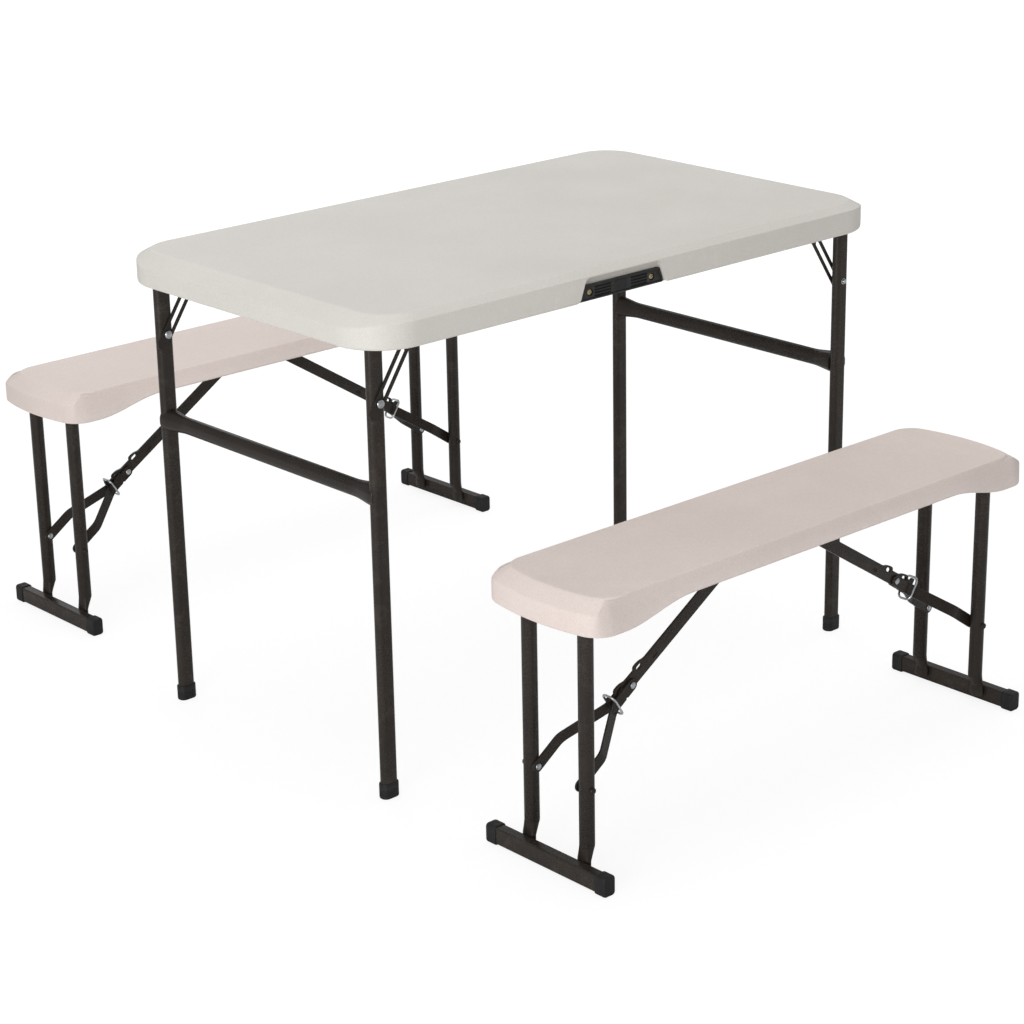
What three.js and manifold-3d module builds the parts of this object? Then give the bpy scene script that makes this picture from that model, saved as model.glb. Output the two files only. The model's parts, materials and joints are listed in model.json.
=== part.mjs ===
// Folding picnic table with two separate folding benches, standing open.
// Millimetres, +Z up, floor at z = 0, X along the long sides, the carry handle on the -Y side.
import * as THREE from 'three';
import { mergeVertices } from 'three/addons/utils/BufferGeometryUtils.js';
import Module from 'manifold-3d';

const wasm = await Module();
wasm.setup();

// Places on the floor, measured from the middle of the set
const benchReach = 638;
const frontBenchSlip = -19;
const rearBenchSlip = 13.5;
const tableSlip = -68;

// Clearances
const seatGap = 0.3;
const pivotGap = 0.4;
const bracketRimGap = 0.5;

// Table top: one hollow-moulded panel with a downturned rim
const tableLength = 1050;
const tableWidth = 612;
const tableHeight = 739;
const tableCornerRadius = 80;
const topThickness = 19;
const rimDepth = 47;
const rimWidth = 16;
const rimDraft = 2;
const topEndRun = 29;
const topEndDrop = 18;
const topSideRun = 13;
const topSideDrop = 9;
const undersidePitDepth = 9;
const undersidePitRadius = 17;
const undersidePitPitch = 126;

// Carry handle let into the front rim
const handleSlip = -51;
const handleBottomLength = 176;
const handleTopLength = 158;
const handleHeight = 24;
const handleThickness = 4;
const handleRecess = 6;
const handlePocketHead = 10.5;
const handlePocketSide = 1.5;
const handlePocketFlare = 8;
const handleGrooveCount = 4;
const handleGrooveLength = 34;
const handleGrooveHeight = 2.4;
const handleGrooveDepth = 1.6;
const handleScrewInset = 16;
const handleScrewRadius = 6;

// Table leg frames: flat-oval legs and a flared crossbar
const legDepth = 27;
const legWidth = 16;
const tubeWall = 1.5;
const legFromEnd = 51;
const legFrameShift = 12;
const legHingeDrop = 22;
const legCrown = 9;
const hingeRodRadius = 4;
const crossbarHeight = 467.5;
const crossbarTall = 27;
const crossbarThick = 18;
const crossbarEndTall = 36;
const crossbarCheek = 2;
const crossbarWrap = 12;
const crossbarLip = 1;
const crossbarFlare = 55;
const footWall = 2;
const footHeight = 24;
const footFloor = 4;

// Slotted stays between the legs and the corner brackets
const stayDrop = 93;
const stayRun = 62;
const stayThickness = 2.5;
const stayWidth = 18.5;
const staySlotWidth = 9;
const stayTail = 26;
const stayPinRadius = 3;
const rivetHeadRadius = 6.5;
const rivetHeadHeight = 4.5;
const bracketSheet = 2.5;
const bracketEar = 11;
const bracketHeel = 6.5;
const hingeRodOverhang = 1.5;

// Bench seats: moulded planks with a deep skirt at both ends
const seatLength = 930;
const seatWidth = 228;
const seatHeight = 420.5;
const seatThickness = 17.5;
const seatEndDepth = 47.5;
const seatMidDepth = 25.5;
const seatCornerRadius = 28;
const seatEndCrown = 17;
const seatWall = 11;
const seatEndRun = 25;
const seatEndDrop = 16;
const seatSideRun = 13;
const seatArchStart = 225;
const seatArchEnd = 415;

// Bench leg frames: two round tubes welded to a foot bar
const benchTube = 22;
const benchTubeSpacing = 111;
const benchTubeFromEnd = 44;
const benchHingeDrop = 19;
const benchTubeCrown = 8;
const benchRodRadius = 5;
const benchLugThickness = 12;
const benchLugReach = 11;
const footBarLength = 237;
const footBarTall = 26;
const footBarThick = 18;
const footBarWall = 1.5;
const footBarRound = 3;
const footCapLength = 20;
const tubePinch = 11;
const tubePinchWidth = 25;
const tubePinchHeight = 48;
const tubeEndHeight = 12;

// Bench brace: a strap from the middle of the seat and two arms to the leg tubes
const armRivetHeight = 133;
const knuckleFromTube = 137.5;
const knuckleAboveRivet = 95;
const bracePivotFromMiddle = 42;
const bracePivotDrop = 21;
const strapThickness = 4;
const strapBelow = 8;
const strapAbove = 12;
const strapTail = 45;
const strapTailRise = 8;
const lobeHeight = 4.6;
const lobeRise = 10;
const lobeFall = 14;
const upperEyelet = 25.5;
const lowerEyelet = -19;
const eyeletLength = 12;
const eyeletWidth = 6.5;
const eyeletHeight = 10;
const dimpleAbove = 57;
const dimpleLength = 11.5;
const dimpleWidth = 4;
const dimpleDepth = 1.2;
const armThickness = 3;
const armDepth = 18;
const armStraight = 42;
const armToe = 52;
const armNotchBelow = 18;
const armNotchLength = 5;
const armNotchDepth = 2;
const knucklePinRadius = 3;
const knuckleHeadRadius = 5;
const knuckleHeadHeight = 2.6;
const braceEar = 7;

// Lock ring round the strap tail and the arms
const ringWire = 3.5;
const ringWidth = 20;
const ringRound = 8;
const ringReach = 16;
const ringBelowKnuckle = 39;

// Derived heights and places
const tableUnderside = tableHeight - topThickness;
const rimBottom = tableHeight - rimDepth;
const legHingeHeight = tableUnderside - legHingeDrop;
const legAxis = tableLength / 2 - legFromEnd;
const handlePocketDepth = handleRecess + handleThickness + seatGap;
const stayPivot = legAxis - stayRun;
const stayReach = Math.hypot(stayRun, stayDrop);
const stayFoldedReach = stayDrop - stayRun;
const stayOuter = legWidth / 2 + pivotGap + stayThickness;
const stayEarInner = stayOuter + pivotGap;
const backEarInner = legWidth / 2 + 2 * pivotGap;

// The legs stand as far apart as the rim's rounded inner corners let the brackets go
const rimInset = rimWidth + rimDraft;
const rimInnerRadius = tableCornerRadius - rimInset;
const bracketEndRoom = legFromEnd - rimInset - bracketHeel;
const cornerReach = Math.max(0, rimInnerRadius - bracketEndRoom);
const cornerBite = rimInnerRadius - Math.sqrt(rimInnerRadius ** 2 - cornerReach ** 2);
const bracketOuter = tableWidth / 2 - rimInset - cornerBite - bracketRimGap;
const farLegY = bracketOuter - bracketSheet - backEarInner;
const nearLegY = 2 * legFrameShift - farLegY;
const seatUnderside = seatHeight - seatThickness;
const benchHingeHeight = seatUnderside - benchHingeDrop;
const benchTubeAxis = seatLength / 2 - benchTubeFromEnd;
const benchTubeRadius = benchTube / 2;
const footBarLift = footWall;
const footBarMiddle = benchTubeAxis + benchTubeRadius + footBarThick / 2;

// The brace bends at its knuckle, a little above the line from the arm rivets to the strap's pivot
const bracePivotHeight = seatUnderside - bracePivotDrop;
const knuckleX = -benchTubeAxis + knuckleFromTube;
const knuckleZ = armRivetHeight + knuckleAboveRivet;
const armReach = Math.hypot(knuckleFromTube, knuckleAboveRivet);
const armAngle = Math.atan2(knuckleAboveRivet, knuckleFromTube);
const strapReach = Math.hypot(-bracePivotFromMiddle - knuckleX, bracePivotHeight - knuckleZ);
const strapAngle = Math.atan2(bracePivotHeight - knuckleZ, -bracePivotFromMiddle - knuckleX);

// Finishes
const finishes = {
  tabletop: { color: 0xd6d3cd, roughness: 0.55, metalness: 0 },
  seat: { color: 0xd5c9c4, roughness: 0.55, metalness: 0 },
  steel: { color: 0x37332f, roughness: 0.45, metalness: 0.4 },
  grip: { color: 0x26282a, roughness: 0.5, metalness: 0 },
  rubber: { color: 0x1f2022, roughness: 0.75, metalness: 0 },
  zinc: { color: 0xb9bcbd, roughness: 0.3, metalness: 1 },
};

// Solids and their joins and cuts
function toSolid(geometry) {
  const bare = geometry.clone();
  for (const name of Object.keys(bare.attributes)) {
    if (name !== 'position') {
      bare.deleteAttribute(name);
    }
  }
  const merged = mergeVertices(bare, 1e-4);
  const corners = merged.index.array;
  const triVerts = [];
  for (let at = 0; at < corners.length; at += 3) {
    const [a, b, c] = [corners[at], corners[at + 1], corners[at + 2]];
    if (a !== b && b !== c && c !== a) {
      triVerts.push(a, b, c);
    }
  }
  const vertProperties = new Float32Array(merged.attributes.position.array);
  const mesh = new wasm.Mesh({ numProp: 3, vertProperties, triVerts: new Uint32Array(triVerts) });
  return new wasm.Manifold(mesh);
}

function toGeometry(solid) {
  const mesh = solid.getMesh();
  const geometry = new THREE.BufferGeometry();
  geometry.setAttribute('position', new THREE.BufferAttribute(new Float32Array(mesh.vertProperties), 3));
  geometry.setIndex(new THREE.BufferAttribute(new Uint32Array(mesh.triVerts), 1));
  return geometry;
}

function joined(...geometries) {
  return toGeometry(geometries.map(toSolid).reduce((sum, next) => sum.add(next)));
}

function cut(geometry, ...tools) {
  return toGeometry(tools.map(toSolid).reduce((rest, tool) => rest.subtract(tool), toSolid(geometry)));
}

function common(first, second) {
  return toGeometry(toSolid(first).intersect(toSolid(second)));
}

function piece(name, geometry, finish) {
  const shape = toGeometry(toSolid(geometry));
  shape.computeVertexNormals();
  const mesh = new THREE.Mesh(shape, new THREE.MeshStandardMaterial(finishes[finish]));
  mesh.name = name;
  return mesh;
}

// A skin over matching rings of points: closed on itself, or with a flat end on the first and last ring
function loft(rings, closed = false) {
  const count = rings[0].length;
  const faces = [];
  const bands = closed ? rings.length : rings.length - 1;
  for (let band = 0; band < bands; band += 1) {
    const here = band * count;
    const next = ((band + 1) % rings.length) * count;
    for (let side = 0; side < count; side += 1) {
      const after = (side + 1) % count;
      faces.push(here + side, here + after, next + after, here + side, next + after, next + side);
    }
  }
  if (!closed) {
    const last = (rings.length - 1) * count;
    for (let side = 1; side < count - 1; side += 1) {
      faces.push(0, side + 1, side, last, last + side, last + side + 1);
    }
  }
  const geometry = new THREE.BufferGeometry();
  const places = rings.flat().flatMap((point) => point.toArray());
  geometry.setAttribute('position', new THREE.Float32BufferAttribute(places, 3));
  geometry.setIndex(faces);
  return geometry;
}

// Outline of a rectangle with round corners, turning from +X through +Y.
// Each point carries how far it belongs to a short end (1) or a long side (0).
function outline(halfX, halfY, radius, cornerSteps, sideSteps = 1, endSteps = 1) {
  const round = Math.min(radius, halfX, halfY);
  const points = [];
  for (let corner = 0; corner < 4; corner += 1) {
    const signX = corner === 0 || corner === 3 ? 1 : -1;
    const signY = corner < 2 ? 1 : -1;
    for (let step = 0; step <= cornerSteps; step += 1) {
      const angle = (Math.PI / 2) * (corner + step / cornerSteps);
      const x = signX * (halfX - round) + round * Math.cos(angle);
      const y = signY * (halfY - round) + round * Math.sin(angle);
      points.push({ x, y, end: Math.cos(angle) ** 2 });
    }
    if (corner % 2 === 0) {
      const from = signX * (halfX - round);
      for (let step = 1; step < sideSteps; step += 1) {
        points.push({ x: from * (1 - (2 * step) / sideSteps), y: signY * halfY, end: 0 });
      }
    } else {
      const from = signY * (halfY - round);
      for (let step = 1; step < endSteps; step += 1) {
        points.push({ x: signX * halfX, y: from * (1 - (2 * step) / endSteps), end: 1 });
      }
    }
  }
  return points;
}

function level(points, z) {
  return points.map((point) => new THREE.Vector3(point.x, point.y, z));
}

function raised(points, heightAt) {
  return points.map((point) => new THREE.Vector3(point.x, point.y, heightAt(point)));
}

function mix(side, end, share) {
  return side + (end - side) * share;
}

function smooth(from, to, value) {
  return THREE.MathUtils.smoothstep(value, from, to);
}

// Rods and plates laid along the Y axis
function rodAlongY(radius, length, x, y, z, sides = 12) {
  const rod = new THREE.CylinderGeometry(radius, radius, length, sides);
  return rod.translate(x, y, z);
}

function plateAlongY(shape, thickness, yStart, curveSegments = 8) {
  const plate = new THREE.ExtrudeGeometry(shape, { depth: thickness, bevelEnabled: false, curveSegments });
  return plate.rotateX(Math.PI / 2).translate(0, yStart + thickness, 0);
}

// A domed rivet head on the Y axis, its flat at y = 0 and its dome towards -Y
function rivetHead(radius, height, sides = 10) {
  const profile = [
    new THREE.Vector2(0, 0),
    new THREE.Vector2(radius, 0),
    new THREE.Vector2(radius * 0.8, height * 0.75),
    new THREE.Vector2(0, height),
  ];
  return new THREE.LatheGeometry(profile, sides).rotateX(Math.PI);
}

function boxBetween(low, high) {
  const size = high.map((value, axis) => value - low[axis]);
  const middle = high.map((value, axis) => (value + low[axis]) / 2);
  return new THREE.BoxGeometry(...size).translate(...middle);
}

// Points of an arc, so that a small hole keeps its own fineness
function arcPoints(x, y, radius, from, to, steps) {
  return Array.from({ length: steps + 1 }, (unused, step) => {
    const angle = mix(from, to, step / steps);
    return new THREE.Vector2(x + radius * Math.cos(angle), y + radius * Math.sin(angle));
  });
}

function circleHole(x, y, radius) {
  const sides = 10;
  return new THREE.Path(arcPoints(x, y, radius, 0, (2 * Math.PI * (sides - 1)) / sides, sides - 1));
}

function slotHole(xFrom, xTo, y, width) {
  const radius = width / 2;
  const quarter = Math.PI / 2;
  return new THREE.Path([
    ...arcPoints(xTo - radius, y, radius, -quarter, quarter, 6),
    ...arcPoints(xFrom + radius, y, radius, quarter, 3 * quarter, 6),
  ]);
}

// A slip-on cap: closed at z = 0, with a pocket that takes the tube's end
function slipCap(halfX, halfY, radius, height, floor, steps) {
  const edge = 2;
  const outer = (inset) => {
    const room = footWall - inset;
    return outline(halfX + room, halfY + room, radius + footWall, steps);
  };
  const pocket = outline(halfX + seatGap, halfY + seatGap, radius + seatGap, steps);
  return loft([
    level(outer(edge), 0),
    level(outer(0), edge),
    level(outer(0), height),
    level(pocket, height),
    level(pocket, floor - seatGap),
  ]);
}

// Table top

function tableOutline(insetX, insetY) {
  const cornerSteps = 8;
  const radius = tableCornerRadius - (insetX + insetY) / 2;
  return outline(tableLength / 2 - insetX, tableWidth / 2 - insetY, radius, cornerSteps);
}

function handlePocket() {
  const bottom = handleBottomLength / 2 + handlePocketSide;
  const top = handleTopLength / 2 + handlePocketSide;
  const height = handleHeight + handlePocketHead;
  const lean = (bottom - top) / handleHeight;
  const headHalf = bottom - lean * height;
  const round = 8;
  const shape = new THREE.Shape();
  shape.moveTo(-bottom - handlePocketFlare, -1);
  shape.quadraticCurveTo(-bottom, 0, -bottom + lean * handlePocketFlare, handlePocketFlare);
  shape.lineTo(-headHalf - lean * round, height - round);
  shape.quadraticCurveTo(-headHalf, height, -headHalf + round, height);
  shape.lineTo(headHalf - round, height);
  shape.quadraticCurveTo(headHalf, height, headHalf + lean * round, height - round);
  shape.lineTo(bottom - lean * handlePocketFlare, handlePocketFlare);
  shape.quadraticCurveTo(bottom, 0, bottom + handlePocketFlare, -1);
  const face = -tableWidth / 2;
  const pocket = plateAlongY(shape, handlePocketDepth + 1, face - 1, 5);
  return pocket.translate(handleSlip, 0, rimBottom);
}

// Shallow round pits that tie the two moulded skins together, clear of the folded legs
function undersidePits() {
  const pits = [];
  const lane = -nearLegY - legWidth - 2 * undersidePitRadius;
  const endLane = stayPivot - 3 * undersidePitRadius;
  const columns = Math.floor(endLane / undersidePitPitch);
  const rows = Math.floor(lane / undersidePitPitch);
  for (let column = -columns; column <= columns; column += 1) {
    for (let row = -rows; row <= rows; row += 1) {
      const tip = undersidePitRadius * 0.6;
      const pit = new THREE.CylinderGeometry(tip, undersidePitRadius, undersidePitDepth, 7);
      pit.rotateX(Math.PI / 2);
      const x = column * undersidePitPitch;
      const y = row * undersidePitPitch;
      pits.push(pit.translate(x, y, tableUnderside + undersidePitDepth / 2 - 0.5));
    }
  }
  return pits;
}

// Both panels have a sloped edge: its run and drop in shares, with a small round at both creases
const edgeShare = [0, 0.08, 0.92, 1.1];
const edgeFall = [1.12, 0.92, 0.07, 0];

function tableTop() {
  const soft = 5;
  const rings = [
    level(tableOutline(rimInset, rimInset), tableUnderside),
    level(tableOutline(rimWidth, rimWidth), rimBottom + soft),
    level(tableOutline(rimWidth - soft, rimWidth - soft), rimBottom),
    level(tableOutline(soft, soft), rimBottom),
    level(tableOutline(soft * 0.3, soft * 0.3), rimBottom + soft * 0.3),
    level(tableOutline(0, 0), rimBottom + soft),
  ];
  edgeShare.forEach((share, step) => {
    const fall = (point) => mix(topSideDrop, topEndDrop, point.end) * edgeFall[step];
    const ring = tableOutline(topEndRun * share, topSideRun * share);
    rings.push(raised(ring, (point) => tableHeight - fall(point)));
  });
  return cut(loft(rings), handlePocket(), ...undersidePits());
}

function carryHandle() {
  const bottom = handleBottomLength / 2;
  const top = handleTopLength / 2;
  const round = 4;
  const shape = new THREE.Shape();
  shape.moveTo(-bottom + round, 0);
  shape.lineTo(bottom - round, 0);
  shape.quadraticCurveTo(bottom, 0, bottom - 1, round);
  shape.lineTo(top + 1, handleHeight - round);
  shape.quadraticCurveTo(top, handleHeight, top - round, handleHeight);
  shape.lineTo(-top + round, handleHeight);
  shape.quadraticCurveTo(-top, handleHeight, -top - 1, handleHeight - round);
  shape.lineTo(-bottom + 1, round);
  shape.quadraticCurveTo(-bottom, 0, -bottom + round, 0);
  const front = -tableWidth / 2 + handleRecess;
  const body = plateAlongY(shape, handleThickness, front, 3);
  const tools = [];
  const pitch = (handleHeight - 2 * round) / handleGrooveCount;
  const screwX = top - handleScrewInset;
  const grooveMiddle = screwX - handleScrewRadius - 3 - handleGrooveLength / 2;
  for (const side of [-1, 1]) {
    const screwZ = handleHeight / 2;
    tools.push(rodAlongY(handleScrewRadius, 2 * handleGrooveDepth, side * screwX, front, screwZ, 16));
    for (let groove = 0; groove < handleGrooveCount; groove += 1) {
      const z = round + pitch * (groove + 0.5);
      const x = side * grooveMiddle;
      tools.push(boxBetween(
        [x - handleGrooveLength / 2, front - 1, z - handleGrooveHeight / 2],
        [x + handleGrooveLength / 2, front + handleGrooveDepth, z + handleGrooveHeight / 2],
      ));
    }
  }
  return cut(body, ...tools).translate(handleSlip, 0, rimBottom + seatGap);
}

// Table leg frame, modelled for the end at -X; the other end is the same frame turned half round

function legSection(halfX, halfY) {
  return outline(halfX, halfY, Math.min(halfX, halfY), 3);
}

function legTube(legY) {
  const outer = legSection(legDepth / 2, legWidth / 2);
  const inner = legSection(legDepth / 2 - tubeWall, legWidth / 2 - tubeWall);
  const top = legHingeHeight + legCrown;
  const skins = [level(outer, footFloor), level(outer, top), level(inner, top), level(inner, footFloor)];
  const tube = loft(skins, true);
  const hinge = rodAlongY(hingeRodRadius + pivotGap, legWidth * 2, 0, 0, legHingeHeight);
  const tail = rivetHead(rivetHeadRadius * 0.8, rivetHeadHeight).rotateZ(Math.PI);
  tail.translate(0, legWidth / 2 - tubeWall / 2, legHingeHeight - stayDrop);
  return joined(cut(tube, hinge), tail).translate(-legAxis, legY, 0);
}

function legFoot(legY) {
  const radius = Math.min(legDepth, legWidth) / 2;
  const cap = slipCap(legDepth / 2, legWidth / 2, radius, footHeight, footFloor, 3);
  return cap.translate(-legAxis, legY, 0);
}

function crossbar() {
  const endThick = legDepth + 2 * crossbarCheek;
  const from = nearLegY - crossbarWrap + legWidth / 2;
  const to = farLegY + crossbarWrap - legWidth / 2;
  const stations = [0, 0.35, 1];
  const section = (y, flare, wall) => {
    const tall = mix(crossbarTall, crossbarEndTall, flare) / 2 - wall;
    const thick = mix(crossbarThick, endThick, flare) / 2 - wall;
    const points = outline(tall, thick, Math.min(tall, thick), 3);
    return points.map((point) => new THREE.Vector3(point.y, y, point.x));
  };
  const along = [
    ...stations.map((share) => [from + crossbarFlare * share, 1 - smooth(0, 1, share)]),
    ...stations.map((share) => [to - crossbarFlare * (1 - share), smooth(0, 1, share)]),
  ];
  const outer = along.map(([y, flare]) => section(y, flare, 0));
  const inner = along.map(([y, flare]) => section(y, flare, tubeWall)).reverse();
  const bar = loft([...outer, ...inner], true);
  const legHole = legSection(legDepth / 2 + seatGap, legWidth / 2 + seatGap);
  const saddles = [nearLegY, farLegY].map((y) => {
    const hole = loft([level(legHole, -crossbarEndTall), level(legHole, crossbarEndTall)]);
    return hole.translate(0, y, 0);
  });
  const innerCheeks = [[nearLegY, 1], [farLegY, -1]].map(([legY, inward]) => {
    const ends = [legY - inward * legWidth, legY + inward * (legWidth / 2 - crossbarLip)];
    return boxBetween(
      [0, Math.min(...ends), -crossbarEndTall],
      [legDepth, Math.max(...ends), crossbarEndTall],
    );
  });
  return cut(bar, ...saddles, ...innerCheeks).translate(-legAxis, 0, crossbarHeight);
}

function hingeRod() {
  const from = nearLegY - stayEarInner - bracketSheet - hingeRodOverhang;
  const to = farLegY + backEarInner + bracketSheet + hingeRodOverhang;
  return rodAlongY(hingeRodRadius, to - from, -legAxis, (from + to) / 2, legHingeHeight);
}

// Corner bracket: a folded channel that holds the hinge rod, with a pin for the stay
function cornerBracket(legY) {
  const plateTop = tableUnderside - seatGap;
  const plateBottom = plateTop - bracketSheet;
  const drop = plateTop - legHingeHeight;
  const endX = -stayPivot + bracketEar;
  const startX = -legAxis - bracketHeel;
  const ear = () => {
    const shape = new THREE.Shape();
    shape.moveTo(startX, 0);
    shape.lineTo(startX, -drop);
    shape.quadraticCurveTo(startX, -drop - bracketEar, -legAxis, -drop - bracketEar);
    shape.lineTo(-stayPivot, -drop - bracketEar);
    shape.absarc(-stayPivot, -drop, bracketEar, Math.PI * 1.5, Math.PI * 2, false);
    shape.lineTo(endX, 0);
    shape.closePath();
    shape.holes.push(circleHole(-legAxis, -drop, hingeRodRadius + seatGap));
    return shape;
  };
  const stayEar = plateAlongY(ear(), bracketSheet, -stayEarInner - bracketSheet, 2);
  const backEar = plateAlongY(ear(), bracketSheet, backEarInner, 2);
  stayEar.translate(0, 0, plateTop);
  backEar.translate(0, 0, plateTop);
  const plate = boxBetween(
    [startX, -stayEarInner - bracketSheet, plateBottom],
    [endX, backEarInner + bracketSheet, plateTop],
  );
  const pinLength = stayEarInner + bracketSheet / 2 - legWidth / 2 - pivotGap;
  const pinMiddle = -legWidth / 2 - pivotGap - pinLength / 2;
  const pin = rodAlongY(stayPinRadius, pinLength, -stayPivot, pinMiddle, legHingeHeight, 10);
  return joined(plate, stayEar, backEar, pin).translate(0, legY, 0);
}

// Slotted stay, drawn along +X from its pivot and swung down to the leg rivet
const stayAngle = Math.PI / 2 + Math.atan2(stayRun, stayDrop);

function swingStay(geometry, legY) {
  return geometry.rotateY(stayAngle).translate(-stayPivot, legY, legHingeHeight);
}

function stay(legY) {
  const half = stayWidth / 2;
  const shape = new THREE.Shape();
  shape.absarc(0, 0, half, Math.PI / 2, Math.PI * 1.5, false);
  shape.absarc(stayReach + stayTail - half, 0, half, -Math.PI / 2, Math.PI / 2, false);
  shape.closePath();
  shape.holes.push(circleHole(0, 0, stayPinRadius + pivotGap));
  const slotFrom = stayFoldedReach - staySlotWidth / 2;
  shape.holes.push(slotHole(slotFrom, stayReach + staySlotWidth / 2, 0, staySlotWidth));
  return swingStay(plateAlongY(shape, stayThickness, -stayOuter, 3), legY);
}

function stayRivet(legY) {
  const shank = staySlotWidth / 2 - seatGap;
  const head = rivetHead(rivetHeadRadius, rivetHeadHeight).translate(0, -stayOuter - seatGap, 0);
  const pinLength = stayOuter + seatGap + 0.5 - legWidth / 2 - seatGap;
  const pin = rodAlongY(shank, pinLength, 0, -legWidth / 2 - seatGap - pinLength / 2, 0, 10);
  return swingStay(joined(head, pin).translate(stayReach, 0, 0), legY);
}

// One end of the table; near and far are the names of the legs on the -Y and +Y sides of this frame
function tableEnd(end, near, far) {
  const group = new THREE.Group();
  for (const [side, legY] of [[near, nearLegY], [far, farLegY]]) {
    group.add(piece(`${end}_${side}_leg`, legTube(legY), 'steel'));
    group.add(piece(`${end}_${side}_foot`, legFoot(legY), 'rubber'));
    group.add(piece(`${end}_${side}_bracket`, cornerBracket(legY), 'steel'));
    group.add(piece(`${end}_${side}_stay`, stay(legY), 'steel'));
    group.add(piece(`${end}_${side}_stay_rivet`, stayRivet(legY), 'zinc'));
  }
  group.add(piece(`${end}_crossbar`, crossbar(), 'steel'));
  group.add(piece(`${end}_hinge_rod`, hingeRod(), 'steel'));
  return group;
}

// Bench seat

function seatOutline(insetX, insetY) {
  const radius = seatCornerRadius - insetY / 2;
  const halfWidth = seatWidth / 2 - insetY;
  const points = outline(seatLength / 2 - insetX, halfWidth, radius, 4, 10, 4);
  return points.map((point) => {
    const crown = seatEndCrown * (point.y / halfWidth) ** 2;
    return { ...point, x: point.x - Math.sign(point.x) * crown };
  });
}

function skirtBottom(point) {
  const end = smooth(seatArchStart, seatArchEnd, Math.abs(point.x));
  return seatHeight - mix(seatMidDepth, seatEndDepth, end);
}

// The long sides lean straight from the skirt's lower edge in to the flat top
const seatSideShare = [0.5, 0.6, 0.95, 1.05];
const seatSideFall = [0.5, 0.4, 0.06, 0];

function seatRing(insetX, insetY, heightAt) {
  return raised(seatOutline(insetX, insetY), heightAt);
}

function seat() {
  const soft = 3;
  const inner = seatWall + 5;
  const rings = [
    seatRing(inner, inner, () => seatUnderside),
    seatRing(seatWall, seatWall, (point) => skirtBottom(point) + soft),
    seatRing(seatWall - soft, seatWall - soft, skirtBottom),
    seatRing(soft, soft, skirtBottom),
    seatRing(0, 0, (point) => skirtBottom(point) + soft),
  ];
  edgeShare.forEach((share, step) => {
    const heightAt = (point) => {
      const sideFall = (seatHeight - skirtBottom(point)) * seatSideFall[step];
      return seatHeight - mix(sideFall, seatEndDrop * edgeFall[step], point.end);
    };
    rings.push(seatRing(seatEndRun * share, seatSideRun * seatSideShare[step], heightAt));
  });
  const lugs = [];
  const holes = [];
  const lugInner = benchTubeSpacing / 2 + benchTubeRadius + 2;
  for (const end of [-1, 1]) {
    const x = end * benchTubeAxis;
    holes.push(rodAlongY(benchRodRadius + seatGap, seatWidth - 2 * inner, x, 0, benchHingeHeight));
    for (const side of [-1, 1]) {
      const nearY = side > 0 ? lugInner : -lugInner - benchLugThickness;
      lugs.push(boxBetween(
        [x - benchLugReach, nearY, benchHingeHeight - benchLugReach],
        [x + benchLugReach, nearY + benchLugThickness, seatUnderside + 1],
      ));
    }
  }
  return cut(joined(loft(rings), ...lugs), ...holes);
}

// Bench leg frame, modelled for the end at -X: round tubes pinched flat onto the foot bar

function benchTubeSolid(y) {
  const sides = 2;
  const ring = (halfX, halfY, x, z) => outline(halfX, halfY, Math.min(halfX, halfY), sides).map(
    (point) => new THREE.Vector3(x + point.x, y + point.y, z),
  );
  const bore = benchTubeRadius - tubeWall;
  const top = benchHingeHeight + benchTubeCrown;
  const flatHalf = tubePinch / 2;
  const wideHalf = tubePinchWidth / 2;
  const flatX = -footBarMiddle + footBarThick / 2 + flatHalf - 0.2;
  const midHalf = (flatHalf + benchTubeRadius) / 2;
  const midX = (flatX - benchTubeAxis) / 2;
  const bend = footBarLift + footBarTall;
  return loft([
    ring(flatHalf, wideHalf, flatX, tubeEndHeight),
    ring(flatHalf, wideHalf, flatX, bend),
    ring(midHalf, (wideHalf + benchTubeRadius) / 2, midX, (bend + tubePinchHeight) / 2),
    ring(benchTubeRadius, benchTubeRadius, -benchTubeAxis, tubePinchHeight),
    ring(benchTubeRadius, benchTubeRadius, -benchTubeAxis, top),
    ring(bore, bore, -benchTubeAxis, top),
    ring(bore, bore, -benchTubeAxis, tubePinchHeight + 2),
  ]);
}

function footBar() {
  const section = (inset) => outline(
    footBarThick / 2 - inset,
    footBarTall / 2 - inset,
    footBarRound,
    2,
  );
  const place = (points, y) => points.map((point) => new THREE.Vector3(
    -footBarMiddle + point.x,
    y,
    footBarLift + footBarTall / 2 - point.y,
  ));
  const half = footBarLength / 2;
  return loft([
    place(section(0), -half),
    place(section(0), half),
    place(section(footBarWall), half),
    place(section(footBarWall), -half),
  ], true);
}

function benchFrame() {
  const half = benchTubeSpacing / 2;
  const rodLength = benchTubeSpacing + benchTube + 2 * (2 + benchLugThickness);
  const rod = rodAlongY(benchRodRadius, rodLength, -benchTubeAxis, 0, benchHingeHeight, 10);
  const outerFace = half + benchTubeRadius - tubeWall;
  const nearHead = rivetHead(rivetHeadRadius * 0.75, rivetHeadHeight + tubeWall, 8);
  const farHead = nearHead.clone().rotateZ(Math.PI);
  nearHead.translate(-benchTubeAxis, -outerFace, armRivetHeight);
  farHead.translate(-benchTubeAxis, outerFace, armRivetHeight);
  return joined(benchTubeSolid(-half), benchTubeSolid(half), footBar(), rod, nearHead, farHead);
}

function footBarCap(side) {
  const cap = slipCap(footBarThick / 2, footBarTall / 2, footBarRound, footCapLength, footWall + seatGap, 2);
  cap.rotateX(side * Math.PI / 2);
  const y = side * (footBarLength / 2 + footWall);
  return cap.translate(-footBarMiddle, y, footBarLift + footBarTall / 2);
}

// Brace pieces, drawn along +X from the knuckle towards the seat and swung to the slope of strap or arms

function swingBrace(geometry, slope) {
  return geometry.rotateY(-slope).translate(knuckleX, 0, knuckleZ);
}

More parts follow.
